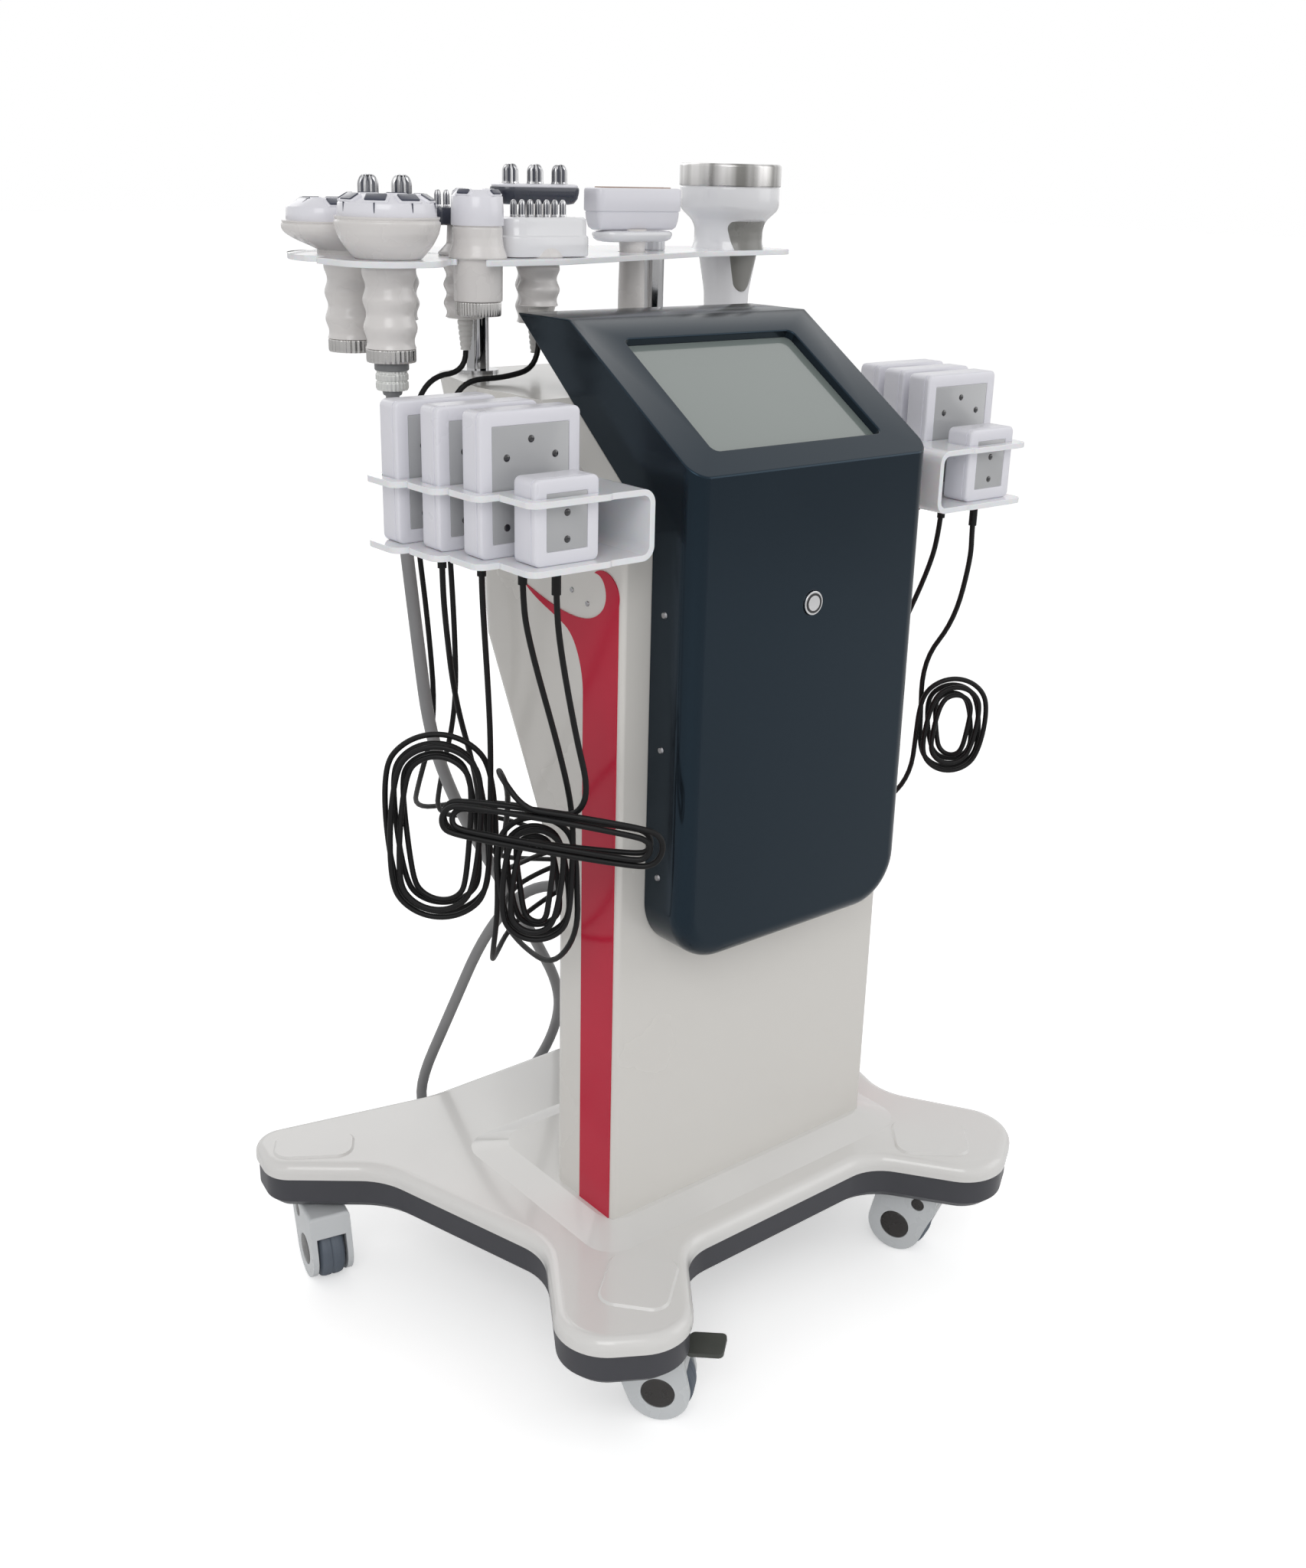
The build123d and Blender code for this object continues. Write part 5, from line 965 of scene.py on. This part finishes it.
body_place, rear_place, side_place = (-53.0, 223.0), (-176.0, 312.0), (-170.0, 187.0)
row_place, plate_place = (-109.0, 138.0), (69.0, 203.0)
probe_handle(
    "body_probe_handle", body_place, -76,
    [(22, -0.4), (27.5, 0), (27.5, 3), (24, 7), (18.5, 16), (20, 38), (17.5, 51)],
    "body_probe_set", "body_probe",
)
level_piece(
    "body_probe_boat", body_place, 108, 38, 15,
    [(12, 50), (6, 51.2), (2, 56), (0.4, 62), (0, 66), (0.6, 68)], probe_dark, "body_probe_set",
    "probe_dark", steps=14,
)
deck = level_piece(
    "body_probe_deck", body_place, 105, 35, 13.5,
    [(0.4, 67.5), (0, 68.4), (0.3, 70.2), (1.6, 71), (6, 71.6)], cup_white, "body_probe_set",
    "cup_white", steps=14,
)
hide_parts("body_probe_tips")
tip_row("body_probe_tip", body_place, 3, 33, 9, 71, 21, "body_probe_set", 8)

short_neck = [(22, -0.4), (27.5, 0), (27.5, 3), (24, 6), (18.5, 12), (17.5, 31)]
for name, place, bottom, length, width, corner, body in (
    ("rear_probe", rear_place, -76, 100, 36, 14, "rear_probe_set"),
    ("side_probe", side_place, -64, 78, 26, 8.5, "side_probe_set"),
):
    probe_handle(name + "_handle", place, bottom, short_neck, body, name)
    level_piece(
        name + "_head", place, length, width, corner,
        [(6, 30), (2.4, 31.2), (0.6, 35), (0, 40), (0, 46), (0.5, 47.4), (2, 48)], probe_dark, body,
        "probe_dark", steps=10,
    )
tip_row(
    "rear_probe_tip", (rear_place[0] - 14, rear_place[1]), 2, 42, 11.5, 48, 30, "rear_probe_set", 9,
)
tip_row("side_probe_tip", side_place, 7, 10.5, 3.6, 48, 17, "side_probe_set", 6)

# %% [markdown]
# The row probe's head is a glossy white block with a ledge at half its height, and it lies on the
# tray. The plate probe carries a flat head with two thin electrodes over an oval foot, which stands
# clear of the tray.

# %% Row and plate probes
probe_handle(
    "row_probe_handle", row_place, -50, [(22, -0.4), (27.5, 0), (26, 5), (20, 14.5)],
    "row_probe_set", "row_probe", waves=2, relief_top=12.0,
)
level_piece(
    "row_probe_head", (row_place[0] + 5, row_place[1]), 108, 46, 21,
    [
        (3, 0.4), (0.8, 1), (0, 3), (0, 19), (0.4, 20.6), (1.8, 21.4), (2.4, 22.6), (2.4, 34),
        (3.2, 38), (5.6, 39.8), (9, 40),
    ],
    gloss_white, "row_probe_set", "handle_white", steps=16,
)
tip_row("row_probe_tip", row_place, 7, 10.5, 3.6, 40, 17, "row_probe_set", 6)
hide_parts("row_probe_tips")

plate_handle = lathe(
    "plate_probe_handle", plate_place,
    whole(
        [(13, -80)],
        rounded([(14.5, -78), (15.5, -60), (15.3, -40), (14.5, -6), (14.5, 0), (16.5, 25)], 2),
    ),
    handle_white, "plate_probe_set", "handle_white",
)
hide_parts("plate_probe")
cable_relief("plate_probe_relief", plate_place, -79, "plate_probe_set")
level_piece(
    "plate_probe_foot", plate_place, 104, 48, 23.5,
    [(12, 11), (6, 12), (1.8, 14.5), (0.2, 18), (0, 20), (0.8, 21.8), (3, 22.8), (12, 23.6)],
    gloss_white, "plate_probe_set", "handle_white", steps=14,
)
level_piece(
    "plate_probe_head", plate_place, 122, 34, 8,
    [
        (9, 24), (5, 27), (2.6, 34), (1.6, 42.4), (2.2, 43), (2.2, 43.8), (0.6, 44.4), (0, 46),
        (0, 65.6), (0.8, 68), (3, 69),
    ],
    pad_white, "plate_probe_set", "handle_white", steps=8,
)
for sign in (1, -1):
    level_piece(
        f"plate_electrode_{'back' if sign > 0 else 'front'}",
        (plate_place[0], plate_place[1] + sign * 6), 100, 4, 1.9,
        [(0, 68.6), (0, 69.4), (0.5, 70)], electrode_bronze, "plate_probe_set", "handle_white",
        steps=4,
    )

# %% [markdown]
# ## Cavitation handpiece
# A cone under a polished metal disc. The grey tongue down its front is a patch that follows the
# cone: at each height it runs from edge to edge on the cone's own radius, and it stands proud of
# it in the middle by a few millimetres, with both ends rounded.

# %% Cavitation handpiece
cone_place = (256.0, 248.0)
cone_lower = rounded([(17, -90), (24, -87), (27, -78), (28, -50), (37, -0.4)], 5)
cone_upper = rounded([
    (45, 0), (44, 3), (42, 9), (42, 24), (46, 33), (58, 44), (60.6, 49), (61, 58), (61, 70),
    (60.2, 71.2), (60.2, 72),
], 4)
cone = lathe(
    "cavitation_cone", cone_place, whole(cone_lower, cone_upper), gloss_white,
    "cavitation_handset", "handle_white", sides=110,
)
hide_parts("cavitation_handpiece")
cable_relief("cavitation_relief", cone_place, -89, "cavitation_handset")
disc = lathe(
    "cavitation_head", cone_place,
    whole(rounded([
        (60.5, 72), (62, 72.6), (62, 95.6), (60.4, 97.6), (57, 98), (54, 97.4), (40, 97.2),
    ], 1.2)),
    disc_steel, "cavitation_handset", "disc_steel", sides=128,
)
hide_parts("cavitation_disc")


def tongue_patch(low, high, low_half, high_half, proud, sunk=0.4, cap=9):
    """Patch x = w s, y = -sqrt(R^2 - x^2), R = cone radius + proud (1 - s^4) - sunk.

    w runs from the low half width to the high one and closes at both ends like a circle's arc.
    """
    heights = np.concatenate([np.linspace(low, -0.4, 60), np.linspace(0.01, high, 40)])
    radius = np.where(
        heights < 0, np.interp(heights, cone_lower[:, 1], cone_lower[:, 0]),
        np.interp(heights, cone_upper[:, 1], cone_upper[:, 0]),
    )
    share = (heights - low) / (high - low)
    half = low_half + (high_half - low_half) * share**0.85
    low_cap = np.sqrt(np.clip(1 - np.clip(1 - (heights - low) / low_half, 0, 1) ** 2, 0, 1))
    high_cap = np.sqrt(np.clip(1 - np.clip(1 - (high - heights) / cap, 0, 1) ** 2, 0, 1))
    edge_cap = np.clip(np.minimum(low_cap, high_cap) * 3, 0, 1)
    half = half * np.where(heights > high - cap, 0.8 + 0.2 * high_cap, low_cap)
    across = np.linspace(-1, 1, 41)[None, :]
    x = half[:, None] * across
    reach = radius[:, None] + (proud * (1 - across**4) * edge_cap[:, None]) - sunk
    y = -np.sqrt(np.clip(reach**2 - x**2, 0, None))
    z = tray_level + heights[:, None] + 0 * x
    return np.stack([cone_place[0] + x, cone_place[1] + y, z], axis=-1)


tongue = tongue_patch(-50, 33, 10, 32, 2.9)
add_piece(
    "cavitation_tongue", tongue, grid_faces(tongue.shape[0], tongue.shape[1], closed=False),
    tongue_grey, "cavitation_handset",
)
print("handpieces and probes done")

# %% [markdown]
# ## Pads
# A pad is a flat box of two shells. A fine groove shows where they meet, and the front shell has a
# grey window with black lenses. The box is one block drawn from front to back, so the groove and
# the sunk window are only more rings. Under the pad, a ribbed nub holds its cable.

# %% Pads
shelf_level = 941.0
face_ways = ((1, 0, 0), (0, 0, 1), (0, 1, 0))


def pad(name, side, x, y, width, thickness, height, lenses, inset=13.0):
    """Pad with its window, lenses and nub; its front faces the front of the cart."""
    body = f"{name}_{side}"
    middle = shelf_level + height / 2
    front = (x, y - thickness / 2, middle)
    case = block(
        body + "_case", front, face_ways, width, height, 6.5,
        [
            (inset, 0.9), (inset - 0.2, 0.1), (inset - 0.6, 0), (2.4, 0), (1.2, 0.3), (0.3, 1.1),
            (0, 2.2), (0, 5.4), (1.0, 5.7), (1.0, 6.9), (0, 7.2), (0, thickness - 3),
            (0.4, thickness - 1.3), (1.3, thickness - 0.4), (3, thickness),
        ],
        pad_white, body, "pad_white", steps=6,
    )
    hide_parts(body)
    block(
        body + "_window", front, face_ways, width - 2 * inset - 0.6, height - 2 * inset - 0.6, 1.2,
        [(0, 0.95), (0, 0.5), (0.3, 0.35)], window_grey, body, "pad_white", steps=3,
    )
    for index, (across, up) in enumerate(lenses):
        turned(
            f"{body}_lens_{index + 1}", (x + across, front[1] + 0.4, middle + up), (0, -1, 0),
            whole([(3.4, -0.2), (3.4, 0.3), (2.7, 0.8), (1.4, 1.1)]), lens_black, body, "pad_white",
            sides=24,
        )
    turned(
        body + "_nub", (x, y, shelf_level), (0, 0, -1),
        whole([(4.5, -1), (4.5, 9)], ribbed_relief(4.5, 3.3, 32, 23)[::-1]), cable_black, body,
        "pad_white", sides=32,
    )


large_lenses = [(0, 40), (-27, 24.5), (27, 24.5), (-27, -39), (27, -39)]
small_lenses = [(0, 8), (0, -16.5)]
for side, sign in (("left", 1), ("right", -1)):
    for index in range(3):
        pad(
            f"large_pad_{index + 1}", side, sign * (-295 - 13 * index), -97 + 50 * index,
            112, 30, 133, large_lenses,
        )
    pad("small_pad", side, sign * -292, -147, 72, 34, 79, small_lenses)
print("pads done")

# %% [markdown]
# ## Trays, housing and base
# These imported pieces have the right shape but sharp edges. A copy of each mesh is merged, and a
# Bevel modifier rounds its edges, because a moulded or polished edge always catches a line of
# light. The angle limit keeps the modifier off the curved walls, and weighted normals keep the
# flat faces flat where they run into a curve. The tray's back left corner is drawn in as well, to
# the wide arc that the photograph shows.

# %% Rounded edges
rounded_nodes = (
    ("top_tray", 1.6, 3), ("side_tray_left", 1.6, 3), ("side_tray_right", 1.6, 3),
    ("front_housing", 5.0, 4), ("column_shell", 1.5, 2), ("base_skirt", 1.2, 2),
    ("caster_hood_front_left", 1.2, 2), ("caster_hood_front_right", 1.2, 2),
    ("caster_hood_rear_left", 1.2, 2), ("caster_hood_rear_right", 1.2, 2),
    ("brake_pedal_front_left", 1.0, 2), ("brake_pedal_front_right", 1.0, 2),
    ("rear_panel", 0.6, 2), ("power_inlet", 0.5, 2), ("button_bezel", 0.6, 2),
)
tray_corner, tray_corner_radius = (-339.2, 330), 95
shortest_side, corner_cuts = 0.015, 16


def round_corner(node, corner, ways, radius):
    """Copy of a flat piece with one corner of its outline drawn in to a larger radius.

    A point p of the outline that lies beyond the middle m of the arc both ways goes to
    m + radius (p - m) / |p - m| where it was farther out than that.
    """
    data, shape = merged_copy(frame["nodes"][node])
    middle = (np.array(corner) - np.array(ways) * radius) / 1000 + np.array(footprint_shift)[:2]
    level = [
        edge for edge in shape.edges
        if len(edge.link_faces) == 2 and edge.calc_length() > shortest_side
        and abs(edge.verts[0].co.z - edge.verts[1].co.z) < weld_distance
        and abs(edge.link_faces[0].normal.dot(edge.link_faces[1].normal)) < 0.5
        and (np.array(edge.verts[0].co[:2]) + edge.verts[1].co[:2] - 2 * middle) @ ways > 0
    ]
    bmesh.ops.subdivide_edges(shape, edges=level, cuts=corner_cuts)
    shape.to_mesh(data)
    shape.free()
    places = np.empty(3 * len(data.vertices))
    data.vertices.foreach_get("co", places)
    places = places.reshape(-1, 3)
    offset = places[:, :2] - middle
    far = np.linalg.norm(offset, axis=1)
    outside = (offset * ways > 0).all(axis=1) & (far > radius / 1000)
    places[outside, :2] = middle + offset[outside] * (radius / 1000 / far[outside])[:, None]
    data.vertices.foreach_set("co", places.ravel())
    data.update()
    return data, int(outside.sum())


softened = {node: soften(node, width, segments) for node, width, segments in rounded_nodes}
rounder_tray, moved = round_corner("top_tray", tray_corner, (-1, 1), tray_corner_radius)
rounder_tray.polygons.foreach_set("use_smooth", [True] * len(rounder_tray.polygons))
softened["top_tray"].data = rounder_tray
print("rounded", len(softened), "tray points drawn in", moved)

# %% [markdown]
# ## Casters
# A wheel is turned about its axle: a grey-blue tyre with a groove round its middle and a paler
# hub. A dark cap closes each side of the hood over the axle, with a small one over the bolt. The
# cover's white knobs and the screws are turned in the same way.

# %% Casters
caster_places = {
    "front_left": (-231.92, -219.024, 310), "front_right": (231.92, -219.024, 111),
    "rear_left": (-382.222, 224.016, 258), "rear_right": (382.222, 224.016, 285),
}
wheel_level, bolt_level, cap_seat, trail = 37.5, 76.5, 23.5, 28.0
for place_name, (x, y, heading) in caster_places.items():
    turn = math.radians(heading)
    away = np.array((math.cos(turn), math.sin(turn), 0))
    axle = np.cross(away, (0, 0, 1))
    hub = np.array((x, y, wheel_level)) + away * trail
    tyre = turned(
        f"tyre_{place_name}", hub, axle,
        rounded([
            (22, -12.5), (22, -16), (31, -15.6), (36.4, -12.4), (37.5, -8), (37.5, -1.9),
            (36.5, -1.1), (36.5, 1.1), (37.5, 1.9), (37.5, 8), (36.4, 12.4), (31, 15.6), (22, 16),
            (22, 12.5), (21, 11), (21, -11), (22, -12.5),
        ], 1.2),
        wheel_tyre, f"wheel_{place_name}", "wheel_tyre", sides=96,
    )
    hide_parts(f"caster_wheel_{place_name}")
    turned(
        f"wheel_hub_{place_name}", hub, axle,
        whole(rounded([(7, -15), (8, -12.4), (21.6, -11.6), (21.6, 11.6), (8, 12.4), (7, 15)], 1)),
        caster_grey, f"wheel_{place_name}", "wheel_tyre", sides=64,
    )
    for way in (1, -1):
        end = "outer" if way > 0 else "inner"
        turned(
            f"hub_cap_{place_name}_{end}", hub + axle * way * cap_seat, axle * way,
            whole(rounded([(18.7, -0.4), (18.7, 1), (17.6, 1.7), (12, 2.2), (5, 2.4)], 0.8)),
            cap_black, f"hood_{place_name}", "caster_grey", sides=56,
        )
        turned(
            f"bolt_cap_{place_name}_{end}",
            np.array((x, y, bolt_level)) + axle * way * cap_seat, axle * way,
            whole(rounded([(8.2, -0.4), (8.2, 0.9), (7.2, 1.5), (3, 1.8)], 0.6)),
            cap_black, f"hood_{place_name}", "caster_grey", sides=40,
        )
print("casters", len(caster_places))

# %% [markdown]
# ## Small parts on the body
# The knobs clamp the tray, a ring lies round the push button, and small screws sit on the white
# island of the stripe. At the back, each cable ends in a black plug and the hose in a ribbed nut.

# %% Small parts
for side, x in (("left", -125.0), ("right", 125.0)):
    knob = lathe(
        f"knob_{side}", (x, 232.0),
        whole(rounded([(12, 0.1), (13, 1), (13, 16), (11.6, 20.4), (8.6, 22), (5, 22)], 1.6)),
        gloss_white, "cart", "tray_white", sides=120, ridges=12, depth=0.8,
    )
    if side == "left":
        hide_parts("tray_knobs")
front_y, button_level = -190.0, 869.0
turned(
    "button_ring", (0, front_y - 2, button_level), (0, -1, 0),
    rounded([(8.4, -0.6), (8.4, 0.3), (9.6, 0.9), (10.4, 0.5), (10.6, -0.6), (8.4, -0.6)], 0.3),
    inlet_black, "cart", "button_metal", sides=64,
)
turned(
    "button_dish", (0, front_y - 0.4, button_level), (0, -1, 0),
    whole(rounded([(5.6, -0.4), (5.6, 0.2), (4.8, 0.5), (4.3, 0.2), (4.1, 0.05)], 0.2)),
    button_metal, "button", "button_metal", sides=48,
)
for side, sign in (("left", -1), ("right", 1)):
    for index, (y, z) in enumerate(((-45.0, 880.0), (-71.0, 871.0))):
        turned(
            f"island_screw_{side}_{index + 1}", (sign * 198.0, y, z), (sign, 0, 0),
            whole(rounded([(2.9, -0.3), (2.8, 0.7), (2.2, 1.4), (1.0, 1.6)], 0.4)),
            screw_zinc, "cart", "screw_zinc", sides=28,
        )


def plug(name, x, z, radius, finish, grip_radius, ridges):
    """Plug in a socket of the rear panel, narrowing to its cable; its axis runs along Y."""
    turned(
        name, (x, panel_y, z), (0, 1, 0),
        whole(rounded([
            (radius * 0.9, 8), (grip_radius, 9.2), (grip_radius, 17), (radius + 1.4, 18.5),
            (radius + 0.4, 24), (radius + 0.1, 28),
        ], 0.7)),
        finish, "cart", "cable_black", sides=72, ridges=ridges, depth=0.6,
    )


for column, row in ((0, 0), (0, 1), (1, 0), (1, 1), (2, 0), (2, 1), (3, 1), (4, 0), (4, 1)):
    plug(f"plug_{column + 1}_{row + 1}", *socket_place(column, row), 3.2, cable_black, 6.8, 12)
plug("hose_nut", -34.0, 434.0, 7.2, collar_grey, 11.0, 18)
print("small parts done")

# %% [markdown]
# ## Floor and light
# A wide pale floor, a white surround and three large soft lamps. The world is white for the camera
# and for reflections, and weaker as a light. The floor adds a glow that only the camera sees, so
# that it meets the white surround without a line and still shows the shadow.

# %% Stage
def area_lamp(name, place, target, size, power):
    """Square soft lamp at a place, facing a target."""
    data = bpy.data.lights.new(name, "AREA")
    data.shape, data.size, data.energy = "SQUARE", size, power
    lamp = bpy.data.objects.new(name, data)
    bpy.context.scene.collection.objects.link(lamp)
    lamp.location = place
    lamp.rotation_euler = (Vector(target) - Vector(place)).to_track_quat("-Z", "Y").to_euler()


lit_place = (0, 0, 0.6)
area_lamp("key_lamp", (-2.6, -2.8, 3.4), lit_place, 2.4, 48)
area_lamp("fill_lamp", (3.0, -2.4, 2.2), lit_place, 2.6, 20)
area_lamp("back_lamp", (0.6, 3.2, 2.8), lit_place, 2.6, 18)
world_light, floor_glow, floor_reach = 0.55, 0.46, 40.0

world = bpy.data.worlds.new("surround")
world.use_nodes = True
bpy.context.scene.world = world
nodes, links = world.node_tree.nodes, world.node_tree.links
path = nodes.new("ShaderNodeLightPath")
seen = nodes.new("ShaderNodeMath")
seen.operation = "MAXIMUM"
clear = nodes.new("ShaderNodeMath")
clear.operation = "MAXIMUM"
links.new(path.outputs["Is Camera Ray"], seen.inputs[0])
links.new(path.outputs["Is Transmission Ray"], seen.inputs[1])
links.new(seen.outputs[0], clear.inputs[0])
links.new(path.outputs["Is Glossy Ray"], clear.inputs[1])
strength = nodes.new("ShaderNodeMapRange")
strength.inputs["To Min"].default_value = world_light
strength.inputs["To Max"].default_value = 1.0
links.new(clear.outputs[0], strength.inputs["Value"])
links.new(strength.outputs["Result"], nodes["Background"].inputs["Strength"])
nodes["Background"].inputs["Color"].default_value = (1, 1, 1, 1)

floor_material = finish(
    "floor_white", (0.95, 0.95, 0.95), (0.94, 0.94, 0.94), (0.6, 0.7), 2, 200, 0.02,
)
nodes, links = floor_material.node_tree.nodes, floor_material.node_tree.links
floor_path, glow = nodes.new("ShaderNodeLightPath"), nodes.new("ShaderNodeMath")
glow.operation = "MULTIPLY"
glow.inputs[1].default_value = floor_glow
links.new(floor_path.outputs["Is Camera Ray"], glow.inputs[0])
links.new(glow.outputs[0], nodes["Principled BSDF"].inputs["Emission Strength"])
nodes["Principled BSDF"].inputs["Emission Color"].default_value = (1, 1, 1, 1)
floor_data = bpy.data.meshes.new("floor")
floor_corners = [
    (x * floor_reach, y * floor_reach, 0) for x, y in ((-1, -1), (1, -1), (1, 1), (-1, 1))
]
floor_data.from_pydata(floor_corners, [], [(0, 1, 2, 3)])
floor_data.materials.append(floor_material)
floor = bpy.data.objects.new("floor", floor_data)
bpy.context.scene.collection.objects.link(floor)
